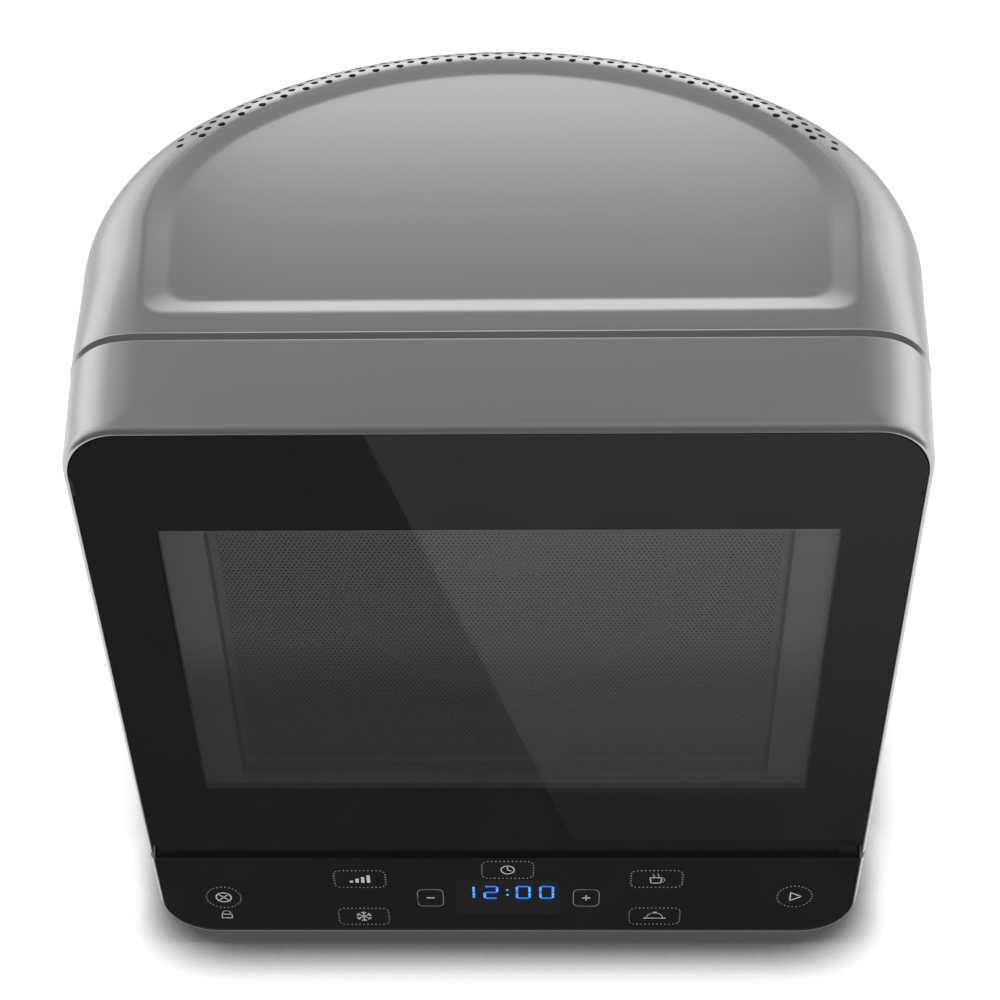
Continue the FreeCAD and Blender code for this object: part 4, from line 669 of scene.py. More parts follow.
def case_skin():
    """Outside of the case as one sheet: sides, top with its pan, and the rolled front edge."""
    skin = Skin()
    front = CASE_FRONT + EDGE_ROLL + 2 * BEAD_WIDE
    rows = [skin.row([(x, y, z) for x, y in plan_path(0.0, front)]) for z in SIDE_HEIGHTS]
    last = acos(1 - EDGE_INSET / CASE_ROUND)
    rows += [skin.row(edge_row(lean, front)) for lean in leans(EDGE_STEPS, last)]
    skin.join(rows)

    border = [rows[-1][0]] * CORNER_STEPS + rows[-1] + [rows[-1][-1]] * CORNER_STEPS
    plans = [(closed_plan([skin.points[index][:2] for index in border], front), 0.0)]
    for share in PAN_SHARES:
        depth = CASE_FRONT + PAN_FRONT_RIM + PAN_FRONT_SLOPE * share
        outline = plan_path(PAN_RIM + PAN_SLOPE * share, depth, PAN_CORNER)
        plans.append((closed_plan(outline, depth), pan_drop(share)))
    outside, inside = plans[0][0], plans[1][0]
    for share in (0.75, 0.5, 0.25, 0.06):
        plans.insert(1, ([part_way(a, b, share) for a, b in zip(outside, inside)], 0.0))
    loops = []
    for plan, drop in plans:
        points = [(x, y, TOP_Z - round_drop(side_inset(x, y), *edge_round(y)) - drop) for x, y in plan]
        if not loops:
            points[:len(border)] = [skin.points[index] for index in border]
        loops.append(skin.row(points))
    skin.join(loops, True)
    skin.faces.append(tuple(loops[-1]))

    rim = [row[0] for row in rows] + loops[0][:len(border) - 1:-1] + [row[-1] for row in reversed(rows)]
    steps = [(BEAD_WIDE * wide, BEAD_DIP * dip) for wide, dip in ((0.5, 0.5), (1.0, 1.0), (1.5, 0.5))]
    for lean in leans(3, pi / 4):
        steps.append((2 * BEAD_WIDE + EDGE_ROLL * sin(lean), EDGE_ROLL * (1 - cos(lean))))
    groove = steps[-1][0] + GROOVE_DEEP - steps[-1][1]
    steps += [(groove, GROOVE_DEEP), (groove, GROOVE_DEEP + EDGE_LIP)]
    rolled = [rim]
    for forward, deep in steps:
        points = []
        for index in rim:
            x, y, z = skin.points[index]
            sideways, up = round_normal(side_inset(x, y), *edge_round(y))
            points.append((x - copysign(sideways, x) * deep, y - forward, z - up * deep))
        rolled.append(skin.row(points))
    skin.join(rolled)
    return skin


def back_place(run, inset):
    """Point and outward direction at a run along the back from its middle."""
    side = copysign(1, run)
    centre = Vector((0.0, back_y, 0.0))
    radius = BACK_RADIUS - inset
    turn = abs(run) / radius
    if turn > back_turn:
        centre = Vector((side * BEND_X, bend_y, 0.0))
        turn = back_turn + (abs(run) - radius * back_turn) / (SIDE_BEND - inset)
        radius = SIDE_BEND - inset
    out = Vector((side * sin(turn), cos(turn), 0.0))
    return centre + out * radius, out


def punched(piece, drills):
    """Thicken a sheet piece inwards and cut round holes, given as (centre, axis, radius), through it."""
    skin = Skin()
    for centre, axis, radius in drills:
        profile = [(0.0, -PUNCH_REACH), (radius, -PUNCH_REACH), (radius, PUNCH_REACH), (0.0, PUNCH_REACH)]
        turned(profile, centre, axis, 20, skin=skin)
    punch = meshed("punch", skin.points, skin.faces)
    weld(punch.data, 1e-7)
    thick = piece.modifiers.new("thick", "SOLIDIFY")
    thick.thickness = CASE_WALL
    thick.offset = -1.0
    cut = piece.modifiers.new("cut", "BOOLEAN")
    cut.operation = "DIFFERENCE"
    cut.object = punch
    cut.solver = "MANIFOLD"
    bpy.context.view_layer.update()
    graph = bpy.context.evaluated_depsgraph_get()
    result = bpy.data.meshes.new_from_object(piece.evaluated_get(graph))
    piece.modifiers.clear()
    piece.data = result
    bpy.data.meshes.remove(punch.data)
    smooth(result)


SILVER = silver_finish()
case = case_skin().piece("case_cover", "cabinet", SILVER, "silver_paint")
top_face = max(case.data.polygons, key=lambda face: len(face.vertices))
if top_face.normal.z < 0:
    case.data.flip_normals()
vents = [(side * run, down) for run, down in VENT_ENDS for side in (-1, 1)]
for row in range(VENT_ROWS):
    for half_step in range(-VENT_TRIES, VENT_TRIES + 1):
        run = half_step * VENT_PITCH / 2
        if half_step % 2 != row % 2 and abs(run) <= VENT_REACH + row * VENT_PITCH / 2:
            vents.append((run, VENT_START + row * VENT_ROW_PITCH))
drills = []
first_inset = CASE_ROUND * (1 - sin(VENT_START / CASE_ROUND))
for run, down in vents:
    lean = down / CASE_ROUND
    inset = CASE_ROUND * (1 - sin(lean))
    spread = (BACK_RADIUS - inset) / (BACK_RADIUS - first_inset)
    point, out = back_place((run + VENT_SHIFT) * spread, inset)
    point.z = TOP_Z - CASE_ROUND * (1 - cos(lean))
    drills.append((point, out * sin(lean) + Vector((0.0, 0.0, cos(lean))), VENT_RADIUS))
gland_turn = asin(GLAND_X / BACK_RADIUS)
gland_out = Vector((sin(gland_turn), cos(gland_turn), 0.0))
gland_point = Vector((0.0, back_y, GLAND_Z)) + gland_out * BACK_RADIUS
drills.append((gland_point, gland_out, GLAND_HOLE))
punched(case, drills)
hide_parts("outer_case")


# Bushing in the case's back, where a mains lead would come out: a black moulded collar.
# It snaps into its hole, with a rounded lip outside.

COLLAR_BORE = 0.004
COLLAR_NECK = 0.0075
COLLAR_LIP = 0.010
COLLAR_DEEP = 0.0042
LIP_ROUND = 0.0014
collar_profile = [(COLLAR_BORE, -COLLAR_DEEP), (COLLAR_NECK, -COLLAR_DEEP), (COLLAR_NECK, 0.0002),
                  (COLLAR_LIP, 0.0002)]
collar_profile += rounded_corner(COLLAR_LIP, 0.0018, LIP_ROUND, 1)
collar_profile += [(0.0052, 0.0032), (0.0043, 0.0028), (COLLAR_BORE, 0.002)]
skin = turned(collar_profile, gland_point, gland_out, 40, ring=True)
collar = skin.piece("lead_collar", "cabinet", BLACK_MOULDING, "black_plastic")
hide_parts("cord_gland")


# Front band below the door: a painted shell with rounded lower corners and a soft front rim.
# It is screwed to the base and carries the black moulding behind the touch panel.

BAND_DEPTH = 0.059
BAND_WALL = 0.0024
BAND_EDGE = 0.0003
INNER_EDGE = 0.0002
RIM_SOFT = 0.0021
RIM_DEEP = 0.0056
EASE_START = 0.0036
EASE_RUN = 0.012
PANEL_TOP = 0.0744
LOWER_CORNER = 0.028


def band_profile():
    """Cross-section of a front band as (depth, inset), all round."""
    profile = [(RIM_DEEP * (1 - sin(lean)), RIM_SOFT * (1 - cos(lean))) for lean in leans(8)]
    profile += [(0.0, BAND_WALL - INNER_EDGE / 2), (INNER_EDGE, BAND_WALL),
                (BAND_DEPTH - INNER_EDGE, BAND_WALL)]
    for lean in leans(3):
        profile.append((BAND_DEPTH - BAND_EDGE * (1 - cos(lean)), BAND_EDGE * (1 - sin(lean))))
    for share in (0.97, 0.85, 0.7, 0.55, 0.4, 0.3, 0.2, 0.1, 0.03):
        profile.append((RIM_DEEP + (BAND_DEPTH - RIM_DEEP) * share, 0.0))
    return profile


def band_path(depth, inset, corner, ease, open_z, far_z):
    """Path of a front band at a depth: from its open end on the right, round to the left."""
    half = half_width(depth, inset)
    up = copysign(1, far_z - open_z)
    far = far_z - up * inset
    turns = [round_place(lean, corner - inset, ease) for lean in leans(27)]
    side = far - up * turns[0][1]
    right = [(half, open_z + (side - open_z) * k / 4) for k in range(4)]
    right += [(half - away, far - up * drop) for away, drop in turns]
    right += [((half - turns[-1][0]) * (1 - k / 4), far) for k in range(1, 4)]
    points = right + [(0.0, far)] + [(-x, z) for x, z in reversed(right)]
    return [(x, FRONT_Y + depth, z) for x, z in points]


def band_piece(name, body, corner, wider, softer, open_z, far_z):
    """Painted band swept round the front, its corner growing and easing by amounts behind the rim."""
    skin = Skin()
    rows = []
    for depth, inset in band_profile():
        grown = corner + wider * depth / BAND_DEPTH
        ease = softer * smooth_share(depth, EASE_START, EASE_RUN)
        rows.append(skin.row(band_path(depth, inset, grown, ease, open_z, far_z)))
    skin.join(rows + rows[:1])
    skin.faces.append(tuple(row[0] for row in rows))
    skin.faces.append(tuple(row[-1] for row in reversed(rows)))
    return skin.piece(name, body, SILVER, "silver_paint")


lower_band = band_piece("lower_band", "cabinet", LOWER_CORNER, 0.0, 0.0, PANEL_TOP, CASE_LOW)
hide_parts("control_housing")
dress(BLACK_MOULDING, "control_carrier")


# Touch panel: black glass with softly ground edges, cemented flush into the lower band.
# Pale marks for the touch fields are printed on it, and blue figures shine through from the display.

GLASS = 0.0032
GLASS_SET = 0.00015
GLASS_EDGE = 0.0004
GLASS_GAP = 0.0003
INK_UP = 0.00005
INK_DOWN = 0.0001


def black_glass(name, rough):
    """Black printed glass: deep gloss with faint wiping marks."""
    made = Finish(name)
    wiped = made.grain((30.0, 30.0, 9.0), 1.8)
    tone = made.between(wiped, (0.0105, 0.0105, 0.0115), (0.0135, 0.0135, 0.0145))
    made.coat(tone, wiped, rough, rough + 0.02, made.grain(70.0), 0.000004, Specular_IOR_Level=0.5)
    return made


def outline_offset(outline, inset):
    """Closed outline moved inwards, for points in counter-clockwise order."""
    moved = []
    count = len(outline)
    for k in range(count):
        here = Vector(outline[k])
        first = (here - Vector(outline[k - 1])).normalized()
        second = (Vector(outline[(k + 1) % count]) - here).normalized()
        first = Vector((-first.y, first.x))
        left = (first + Vector((-second.y, second.x))).normalized()
        reach = inset / max(left.dot(first), 0.3)
        moved.append((outline[k][0] + left.x * reach, outline[k][1] + left.y * reach))
    return moved


def round_rectangle(x_low, x_high, z_low, z_high, lower, upper, steps=10):
    """Outline of a rectangle with rounded corners, counter-clockwise."""
    points = []
    corners = ((x_low, z_low, lower, pi), (x_high, z_low, lower, 1.5 * pi),
               (x_high, z_high, upper, 0.0), (x_low, z_high, upper, 0.5 * pi))
    for x, z, radius, start in corners:
        if radius <= 0:
            points.append((x, z))
            continue
        cx = x + radius if x == x_low else x - radius
        cz = z + radius if z == z_low else z - radius
        points += arc(cx, cz, radius, start, start + pi / 2, steps)
    return points


def glass_piece(name, outline, body, material, slot):
    """Glass plate with softly ground front edges and a front that stays flat up to them."""
    skin = Skin()
    near = FRONT_Y + GLASS_SET
    rows = [skin.row([(x, near, z) for x, z in outline_offset(outline, 2 * GLASS_EDGE)])]
    for lean in leans(3):
        ring = outline_offset(outline, GLASS_EDGE * (1 - sin(lean)))
        rows.append(skin.row([(x, near + GLASS_EDGE * (1 - cos(lean)), z) for x, z in ring]))
    rows.append(skin.row([(x, FRONT_Y + GLASS, z) for x, z in outline]))
    skin.join(rows, True)
    skin.faces.append(tuple(rows[0]))
    skin.faces.append(tuple(reversed(rows[-1])))
    return skin.piece(name, body, material, slot)


set_in = BAND_WALL + GLASS_GAP
panel_half = half_width(0.0, set_in)
panel_outline = round_rectangle(-panel_half, panel_half, CASE_LOW + set_in, PANEL_TOP,
                                LOWER_CORNER - set_in, 0.0)
PANEL_GLASS = black_glass("panel_glass", 0.05).material
panel = glass_piece("touch_panel", panel_outline, "cabinet", PANEL_GLASS, "panel_glass")
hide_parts("control_glass")
dress(BLACK_MOULDING, "display_module")


def print_finish(name, dark, light, glow=0.0, scale=2400.0, contrast=1.4):
    """Printed or lit mark with a slightly uneven ink."""
    made = Finish(name)
    ink = made.grain(scale, contrast)
    tone = made.between(ink, dark, light)
    made.set(Base_Color=tone, Roughness=made.span(ink, 0.4, 0.55))
    if glow > 0:
        made.set(Emission_Color=tone, Emission_Strength=glow)
    return made.material


def circle(x, z, radius, count):
    """Points round a circle."""
    return arc(x, z, radius, 0.0, 2 * pi, count)[:-1]


def set_at(place, *points):
    """Points given in millimetres round a place."""
    return [(place[0] + x / 1000, place[1] + z / 1000) for x, z in points]


class Marks(Skin):
    """Thin printed shapes on the front of the touch panel, gathered into one piece."""

    def __init__(self, back=0.0):
        super().__init__()
        self.front = FRONT_Y + GLASS_SET + back

    def shape(self, outline):
        """Filled outline."""
        near = self.row([(x, self.front - INK_UP, z) for x, z in outline])
        far = self.row([(x, self.front + INK_DOWN, z) for x, z in outline])
        self.faces += [tuple(near), tuple(reversed(far))]
        self.faces += zip(near, far, far[1:] + far[:1], near[1:] + near[:1])

    def stroke(self, path, wide):
        """Line of a width through points, as one strip for each run."""
        for first, second in zip(path, path[1:]):
            along = (Vector(second) - Vector(first)).normalized()
            side = Vector((-along.y, along.x)) * wide / 2
            start = Vector(first) - along * wide * 0.35
            end = Vector(second) + along * wide * 0.35
            self.shape([tuple(point) for point in (start - side, end - side, end + side, start + side)])

    def ring(self, outline, wide):
        """Closed line of a width along an outline."""
        inner = outline_offset(outline, wide)
        for k in range(len(outline)):
            after = (k + 1) % len(outline)
            self.shape([outline[k], outline[after], inner[after], inner[k]])

    def dots(self, outline):
        """Row of dots along a closed outline."""
        legs = list(zip(outline, outline[1:] + outline[:1]))
        total = sum(dist(*leg) for leg in legs)
        count = round(total / DOT_PITCH)
        for k in range(count):
            run = total * k / count
            for first, last in legs:
                long = dist(first, last)
                if run <= long:
                    centre = part_way(first, last, run / long if long > 0 else 0.0)
                    self.shape(circle(*centre, DOT_RADIUS, 10))
                    break
                run -= long


KEY_WIDE = 0.0261
KEY_TALL = 0.0142
KEY_ROUND = 0.0034
ROUND_KEY = 0.0089
STEP_HALF = 0.0068
STEP_LOW = 0.0337
STEP_HIGH = 0.0485
STEP_ROUND = 0.0032
DOT_PITCH = 0.00205
DOT_RADIUS = 0.00045
LINE = 0.00055
CLOCK_FACE = 0.0036
STOP_RING = 0.0042
CLOCK = (0.0006, 0.0650)
POWER = (-0.0746, 0.0573)
FROST = (-0.0745, 0.0248)
CUP = (0.0760, 0.0574)
DISH = (0.0760, 0.0252)
STOP = (-0.1457, 0.0415)
LOCK = (-0.1457, 0.0262)
START = (0.1468, 0.0424)
MINUS = (-0.0393, 0.0411)
PLUS = (0.0405, 0.0411)
MARK_GREY = print_finish("mark_grey", 0.24, 0.32)
MARK_WHITE = print_finish("mark_white", (0.66, 0.67, 0.68), (0.78, 0.79, 0.80))
dots = Marks()
for x, z in (CLOCK, POWER, FROST, CUP, DISH):
    dots.dots(round_rectangle(x - KEY_WIDE / 2, x + KEY_WIDE / 2, z - KEY_TALL / 2, z + KEY_TALL / 2,
                              KEY_ROUND, KEY_ROUND, 5))
for x, z in (STOP, START):
    dots.dots(circle(x, z, ROUND_KEY, 48))
for x, z in (MINUS, PLUS):
    field = round_rectangle(x - STEP_HALF, x + STEP_HALF, STEP_LOW, STEP_HIGH, STEP_ROUND, STEP_ROUND, 6)
    dots.ring(field, LINE * 0.8)
dots.piece("touch_field_dots", "cabinet", MARK_GREY, "white_plastic")

signs = Marks()
signs.ring(circle(*CLOCK, CLOCK_FACE, 24), LINE)
signs.ring(circle(*STOP, STOP_RING, 32), LINE * 1.2)
strokes = [
    (CLOCK, 1.0, [(0, 2.2), (0, 0), (1.6, -0.8)]),
    (CUP, 1.0, [(-3.4, 1.0), (-2.8, -3.4), (2.0, -3.4), (2.6, 1.0), (-3.4, 1.0)]),
    (CUP, 1.0, arc(2.6, -1.0, 1.6, -pi / 2, pi / 2, 8)),
    (DISH, 1.0, arc(0, -1.4, 4.2, 0.0, pi, 16)),
    (DISH, 1.0, [(-5.6, -1.8), (5.6, -1.8)]),
    (DISH, 1.0, [(-0.8, 3.4), (0.8, 3.4)]),
    (MINUS, 1.3, [(-1.8, 0), (1.8, 0)]),
    (PLUS, 1.3, [(-1.8, 0), (1.8, 0)]),
    (PLUS, 1.0, [(0, -2.0), (0, 2.0)]),
    (STOP, 1.0, [(-2.1, 2.1), (2.1, -2.1)]),
    (STOP, 1.0, [(-2.1, -2.1), (2.1, 2.1)]),
    (LOCK, 1.0, [(-2.6, 0.4), (-2.6, -2.8), (2.6, -2.8), (2.6, 0.4), (-2.6, 0.4)]),
    (LOCK, 1.0, [(-2.1, 0.4)] + arc(0, 1.4, 2.1, pi, 0.0, 8) + [(2.1, 0.4)]),
    (START, 1.2, [(-2.2, -3.4), (3.4, 0), (-2.2, 3.4), (-2.2, -3.4)]),
]
for side in (-1, 1):
    steam = [(-0.4 + 1.2 * side + 0.4 * sin(1.1 * k), 1.8 + 0.45 * k) for k in range(6)]
    strokes.append((CUP, 0.8, steam))
for turn in (pi / 2, pi * 5 / 6, pi * 7 / 6):
    arm = Vector((cos(turn), sin(turn))) * 4.0
    strokes.append((FROST, 1.0, [-arm, arm]))
    for end in (-1, 1):
        for lean in (-0.8, 0.8):
            twig = Vector((cos(turn + lean), sin(turn + lean))) * 1.5
            strokes.append((FROST, 1.0, [arm * end * 0.62, (arm * 0.62 + twig) * end]))
for place, wide, path in strokes:
    signs.stroke(set_at(place, *path), LINE * wide)
for step in range(4):
    left, top = -5.2 + 2.9 * step, -1.3 + 1.5 * step
    signs.shape(set_at(POWER, (left, -3.1), (left + 1.7, -3.1), (left + 1.7, top), (left, top)))
signs.piece("touch_field_signs", "cabinet", MARK_WHITE, "white_plastic")

DISPLAY_DARK = print_finish("display_window", (0.014, 0.014, 0.015), (0.019, 0.019, 0.020))
PANE = (-0.0262, 0.0272, 0.0268, 0.0562)
PANE_ROUNDS = (0.0022, 0.0015)
PANE_BACK = 0.00003
pane = Marks(PANE_BACK)
pane.shape(round_rectangle(*PANE, *PANE_ROUNDS, 5))
pane.piece("display_pane", "cabinet", DISPLAY_DARK, "display")

FIGURE_BLUE = print_finish("figure_blue", (0.003, 0.08, 0.62), (0.01, 0.17, 0.85), 0.95)
FIGURE_PALE = print_finish("figure_pale_blue", (0.006, 0.14, 0.80), (0.08, 0.45, 1.0), 0.95, 500.0, 2.4)
SEGMENTS = {"0": "abcdef", "1": "bc", "2": "abged"}
DIGITS = ((-0.0202, "1"), (-0.0082, "2"), (0.0083, "0"), (0.0203, "0"))
DIGIT_Z = 0.0459
DIGIT_HALF_WIDE = 0.0032
DIGIT_HALF_TALL = 0.0050
BAR = 0.0012
BAR_GAP = BAR * 0.62
COLON = ((0.0002, 0.0438), (0.0002, 0.0480))
COLON_RADIUS = 0.0007
FIGURE_BACK = -0.00002
bars = Marks(FIGURE_BACK)
posts = Marks(FIGURE_BACK)
for x, figure in DIGITS:
    low, high = DIGIT_Z - DIGIT_HALF_TALL, DIGIT_Z + DIGIT_HALF_TALL
    left, right = x - DIGIT_HALF_WIDE, x + DIGIT_HALF_WIDE
    for letter, z in (("a", high), ("g", DIGIT_Z), ("d", low)):
        if letter in SEGMENTS[figure]:
            bars.stroke([(left + BAR_GAP, z), (right - BAR_GAP, z)], BAR)
    uprights = (("b", right, high), ("c", right, DIGIT_Z), ("f", left, high), ("e", left, DIGIT_Z))
    for letter, post_x, top in uprights:
        if letter in SEGMENTS[figure]:
            posts.stroke([(post_x, top - BAR_GAP), (post_x, top - DIGIT_HALF_TALL + BAR_GAP)], BAR)
for x, z in COLON:
    posts.shape(circle(x, z, COLON_RADIUS, 12))
bars.piece("display_bars", "cabinet", FIGURE_BLUE, "display")
posts.piece("display_posts", "cabinet", FIGURE_PALE, "display")


# Door band: the same painted shell turned over, its corners growing to the case's round at the seam.
# It is clipped over the moulded door frame.

HINGE_Z = 0.0822
HINGE_LAP = 0.0032
DOOR_CORNER = 0.025
corner_growth = (SEAM_ROUND - DOOR_CORNER) * BAND_DEPTH / CASE_FRONT
door_band = band_piece("door_band", "door", DOOR_CORNER, corner_growth, SEAM_EASE,
                       HINGE_Z - HINGE_LAP, TOP_Z)
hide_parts("door_shell")


# Door inside: a dark moulded frame with a grey inner trim, and a pressed steel screen with fine holes.
# The screen is coated grey; a clear film closes the window on the oven's side.

WINDOW_HALF = 0.145
WINDOW_LOW = 0.127
WINDOW_HIGH = 0.304
WALL_REACH = 0.0003
MESH_HALF = 0.123
MESH_LOW = 0.137
MESH_HIGH = 0.294
HOLE_PITCH = 0.0021
HOLE_RADIUS = 0.00068
CELL_START = 100.0
SCREEN_GREY = (0.27, 0.27, 0.273), (0.31, 0.31, 0.313)
WALL_HIGHLIGHT_GREY = (0.18, 0.18, 0.182), (0.21, 0.21, 0.212)


def beyond(made, half, low, high):
    """Mask of what lies beyond a rectangle in the middle of the front."""
    x, y, z = made.place()
    side = made.math("GREATER_THAN", made.math("ABSOLUTE", x), half)
    ends = made.math("MAXIMUM", made.math("LESS_THAN", z, low), made.math("GREATER_THAN", z, high))
    return made.math("MAXIMUM", side, ends)


def screen_finish():
    """Grey-coated sheet, with staggered rows of fine round holes inside the pressed panel."""
    made = Finish("perforated_sheet")
    x, y, z = made.place()
    nearest = None
    for shift in (0.0, 0.5):
        squares = []
        for value, pitch in ((x, HOLE_PITCH), (z, HOLE_PITCH * sqrt(3))):
            count = made.math("ADD", made.math("DIVIDE", value, pitch), CELL_START + shift)
            away = made.math("MULTIPLY", made.math("SUBTRACT", made.math("FRACT", count), 0.5), pitch)
            squares.append(made.math("MULTIPLY", away, away))
        near = made.math("ADD", squares[0], squares[1])
        nearest = near if nearest is None else made.math("MINIMUM", nearest, near)
    solid = made.math("GREATER_THAN", nearest, HOLE_RADIUS ** 2)
    sheet = made.math("MAXIMUM", solid, beyond(made, MESH_HALF, MESH_LOW, MESH_HIGH))
    pits = made.grain(900.0, 1.5)
    return made.coat(made.between(pits, *SCREEN_GREY), pits, 0.4, 0.55, pits, 0.00003, Alpha=sheet)


def frame_finish():
    """Black moulding, with a painted highlight: the walls of the window opening are grey, for light
    caught there.
    """
    made = Finish("door_frame")
    rest = beyond(made, WINDOW_HALF + WALL_REACH, WINDOW_LOW - WALL_REACH, WINDOW_HIGH + WALL_REACH)
    pits = made.grain(1700.0, 1.6)
    # Painted highlight: grey on the window opening's walls stands in for light caught by them.
    tone = made.between(rest, made.between(pits, *WALL_HIGHLIGHT_GREY), made.between(pits, BLACK_DARK, BLACK_LIGHT))
    return made.coat(tone, pits, 0.42, 0.54, pits, 0.00006)


TRIM_GREY = plain_finish("trim_grey", 0.22, 0.27, 0.45, 1400.0, 0.00005)
FILM = clear_glass("window_film", (0.95, 0.95, 0.95), 0.00001)
dress(screen_finish(), "door_screen")
dress(frame_finish(), "door_frame")
dress(TRIM_GREY, "choke_cover")
dress(FILM, "window_film")
dress(WHITE_MOULDING, "latch_left", "latch_right")
dress(PLATED, "latch_springs")


# Door glass: black printed glass, cemented flush inside the band.
# The print leaves a tinted window in the middle, where the screen behind can be seen; towards the
# window's lower edge the tint is made denser as painted shade.

SHADE_LOW_Z, TINT_WITH_SHADE = 0.190, 0.45
SHADE_HIGH_Z, TINT_CLEAR = 0.240, 0.29


def door_glass_finish():
    """Black print round a window that is left clear but for a tint, made denser in its lower half as
    painted shade.
    """
    made = black_glass("door_glass", 0.005)
    printed = beyond(made, WINDOW_HALF, WINDOW_LOW, WINDOW_HIGH)
    # Painted shade: the tint darkens the lower part of the window, for less light reaching the screen
    # there.
    tint_and_shade = made.span(made.place()[2], TINT_WITH_SHADE, TINT_CLEAR, SHADE_LOW_Z, SHADE_HIGH_Z, "SMOOTHSTEP")
    made.set(Alpha=made.math("MAXIMUM", printed, tint_and_shade), Coat_Weight=made.span(printed, 1.0, 0.0),
             Coat_IOR=2.5, Coat_Roughness=0.005)
    return made.material


dress(door_glass_finish(), "door_glass")


# Studio: a white floor, soft white surroundings and a camera at the picture's angle.
# The floor and the surroundings look white to the camera, and the floor keeps the oven's shadow from the
# lamps; close to the oven a contact shadow is painted into the floor's colour and glow from ambient
# occlusion.

bpy.context.scene.view_settings.view_transform = "Standard"
PAINTED_SHADOW_REACH = 0.034
PAINTED_SHADOW_CURVE = 1.45
PAINTED_SHADOW_DARKEST = 0.055
AIM = Vector((0.0, 0.0, 0.2))
EYE = Vector((0.0181, -0.7528, 0.8790))

floor = meshed("floor", [(-4, -4, 0), (4, -4, 0), (4, 4, 0), (-4, 4, 0)], [(0, 1, 2, 3)])
paper = Finish("floor_paper")
# Painted shadow: ambient occlusion near the oven darkens the floor's colour and its glow.
nearby = paper.node("ShaderNodeAmbientOcclusion")
nearby.inputs["Distance"].default_value = PAINTED_SHADOW_REACH
painted_contact = paper.span(nearby.outputs["AO"], 0.0, 1.0, 0.50, 0.92)
shade = paper.math("MAXIMUM", paper.math("POWER", painted_contact, PAINTED_SHADOW_CURVE), PAINTED_SHADOW_DARKEST)
ray = paper.node("ShaderNodeLightPath").outputs
mirrored = paper.math("MAXIMUM", ray["Is Glossy Ray"], ray["Is Transmission Ray"])
seen = paper.math("MAXIMUM", ray["Is Camera Ray"], mirrored)
x, y, z = paper.place()
reach = paper.math("ADD", paper.math("MULTIPLY", x, x), paper.math("MULTIPLY", y, y))
glow = paper.span(reach, 0.72, 0.97, 0.4, 4.0)
paper.set(Roughness=0.9, Base_Color=paper.between(shade, 0.05, 0.40), Emission_Color=(1.0, 1.0, 1.0, 1.0),
          Emission_Strength=paper.math("MULTIPLY", paper.math("MULTIPLY", seen, shade), glow))
floor.data.materials.append(paper.material)
floor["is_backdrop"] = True


def mirror_card(name, corners, axis, start, first_tone, end, last_tone):
    """Card that only mirrors see, its tone running between two places along an axis."""
    card = meshed(name, corners, [tuple(range(len(corners)))])
    made = Finish(name)
    share = made.span(made.place()[axis], 0.0, 1.0, start, end)
    made.set(Roughness=1.0, Specular_IOR_Level=0.0, Emission_Strength=1.0,
             Base_Color=made.between(made.grain(8.0), 0.0, 0.002),
             Emission_Color=made.between(share, first_tone, last_tone))
    card.data.materials.append(made.material)
    for sight in ("camera", "diffuse", "transmission", "shadow"):
        setattr(card, "visible_" + sight, False)
    card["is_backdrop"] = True


mirror_card("dark_card", [(-0.9, -3.9, 0.002), (0.9, -3.9, 0.002), (0.28, -0.167, 0.002),
                          (-0.28, -0.167, 0.002)], 1, -0.25, 0.075, -0.50, 0.10)
mirror_card("rim_card", [(-0.2, -0.167, 0.002), (0.2, -0.167, 0.002), (0.2, -0.06, 0.002),
                         (-0.2, -0.06, 0.002)], 1, -0.167, 0.40, -0.10, 0.25)
mirror_card("pale_card", [(0.0352, -0.2245, 0.004), (-0.1454, -0.670, 0.004), (0.46, -0.670, 0.004),
                          (0.26, -0.2245, 0.004)], 1, -0.25, 0.14, -0.50, 0.42)
mirror_card("back_card", [(-0.24, 0.46, 0.36), (0.24, 0.46, 0.36), (0.24, 0.46, 0.64),
                          (-0.24, 0.46, 0.64)], 2, 0.42, 1.6, 0.50, 1.08)
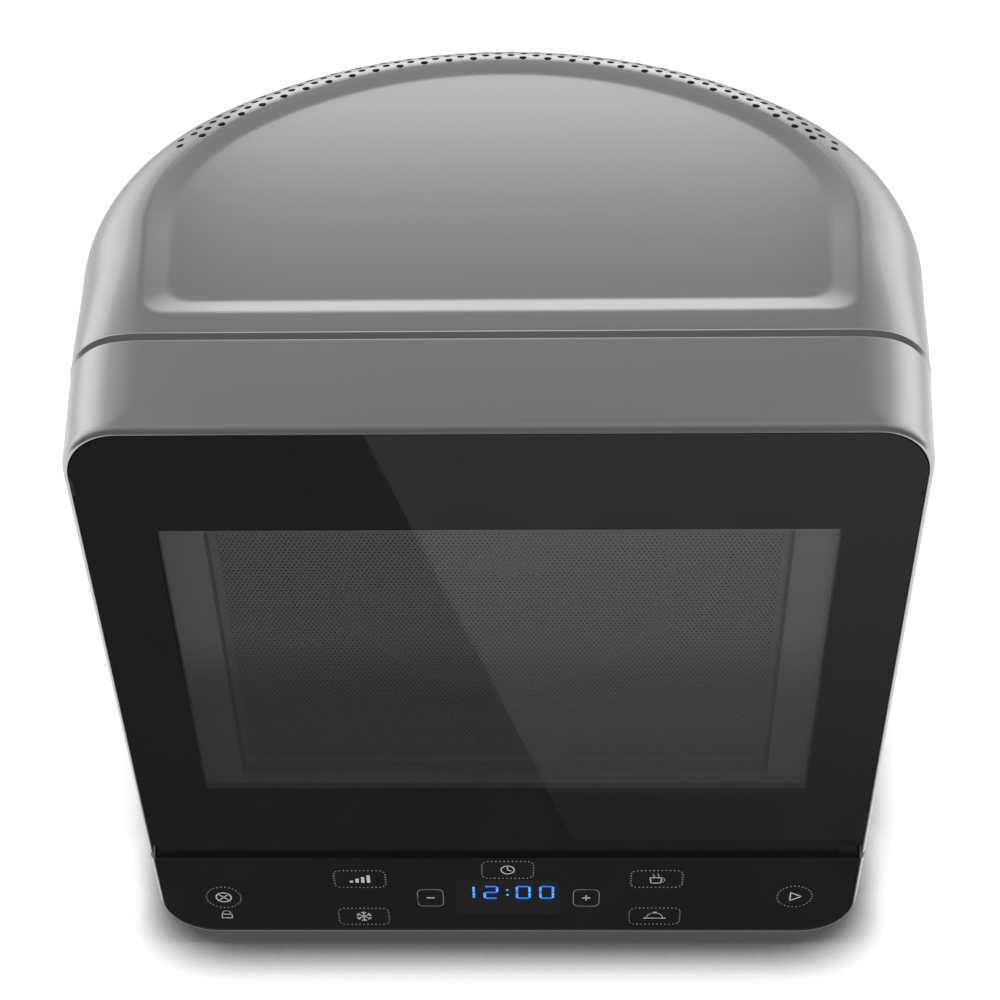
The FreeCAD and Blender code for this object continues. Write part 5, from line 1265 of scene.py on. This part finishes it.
mirror_card("back_floor", [(-2.0, 0.45, 0.003), (2.0, 0.45, 0.003), (2.0, 3.9, 0.003),
                           (-2.0, 3.9, 0.003)], 1, 0.50, 0.85, 1.10, 0.55)


def soft_lamp(name, place, size, energy):
    """Soft white lamp aimed at the oven, with no mirror image of its own."""
    data = bpy.data.lights.new(name, "AREA")
    data.energy = energy
    data.size = size
    lamp = placed(name, data)
    lamp.location = place
    lamp.rotation_euler = (AIM - lamp.location).to_track_quat("-Z", "Y").to_euler()
    lamp.visible_glossy = False


soft_lamp("front_lamp", (0.3, -2.2, 1.7), 1.2, 40.0)
soft_lamp("top_lamp", (0.0, -0.14, 2.6), 0.3, 30.0)

world = bpy.data.worlds.new("studio")
bpy.context.scene.world = world
world.use_nodes = True
air = Wiring(world.node_tree)
across, away, up = air.place("Generated")
rise = air.span(up, 0.60, 0.175, sin(radians(8)), sin(radians(33)), "SMOOTHSTEP")
lift = air.span(up, 0.0, 0.14, sin(radians(46)), sin(radians(58)))
side_glow = air.span(air.math("ABSOLUTE", across), 0.0, 0.70, 0.20, 0.66)
back_sky = air.math("ADD", air.math("ADD", rise, lift), side_glow)
ahead_share = air.span(away, 0.0, 1.0, 0.48, 0.10, "SMOOTHSTEP")
mirrored_sky = air.mix(ahead_share, back_sky, 0.11)
sky = air.tree.nodes["Background"].inputs
sky["Color"].default_value = (1.0, 1.0, 1.0, 1.0)
seen = air.node("ShaderNodeLightPath").outputs["Is Camera Ray"]
air.feed(sky["Strength"], air.mix(seen, mirrored_sky, 1.0))

camera_data = bpy.data.cameras.new("camera")
camera_data.lens = 70.65
camera_data.sensor_width = 36.0
camera = placed("camera", camera_data)
pitch, yaw, roll = radians(43.24), radians(1.64), radians(-1.34)
ahead = Vector((-sin(yaw) * cos(pitch), cos(yaw) * cos(pitch), -sin(pitch)))
right = Vector((cos(yaw), sin(yaw), 0.0))
up = right.cross(ahead)
side_axis = right * cos(roll) + up * sin(roll)
up_axis = up * cos(roll) - right * sin(roll)
turn = Matrix((side_axis, up_axis, -ahead)).transposed().to_4x4()
camera.matrix_world = Matrix.Translation(EYE) @ turn
bpy.context.scene.camera = camera

low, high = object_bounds()
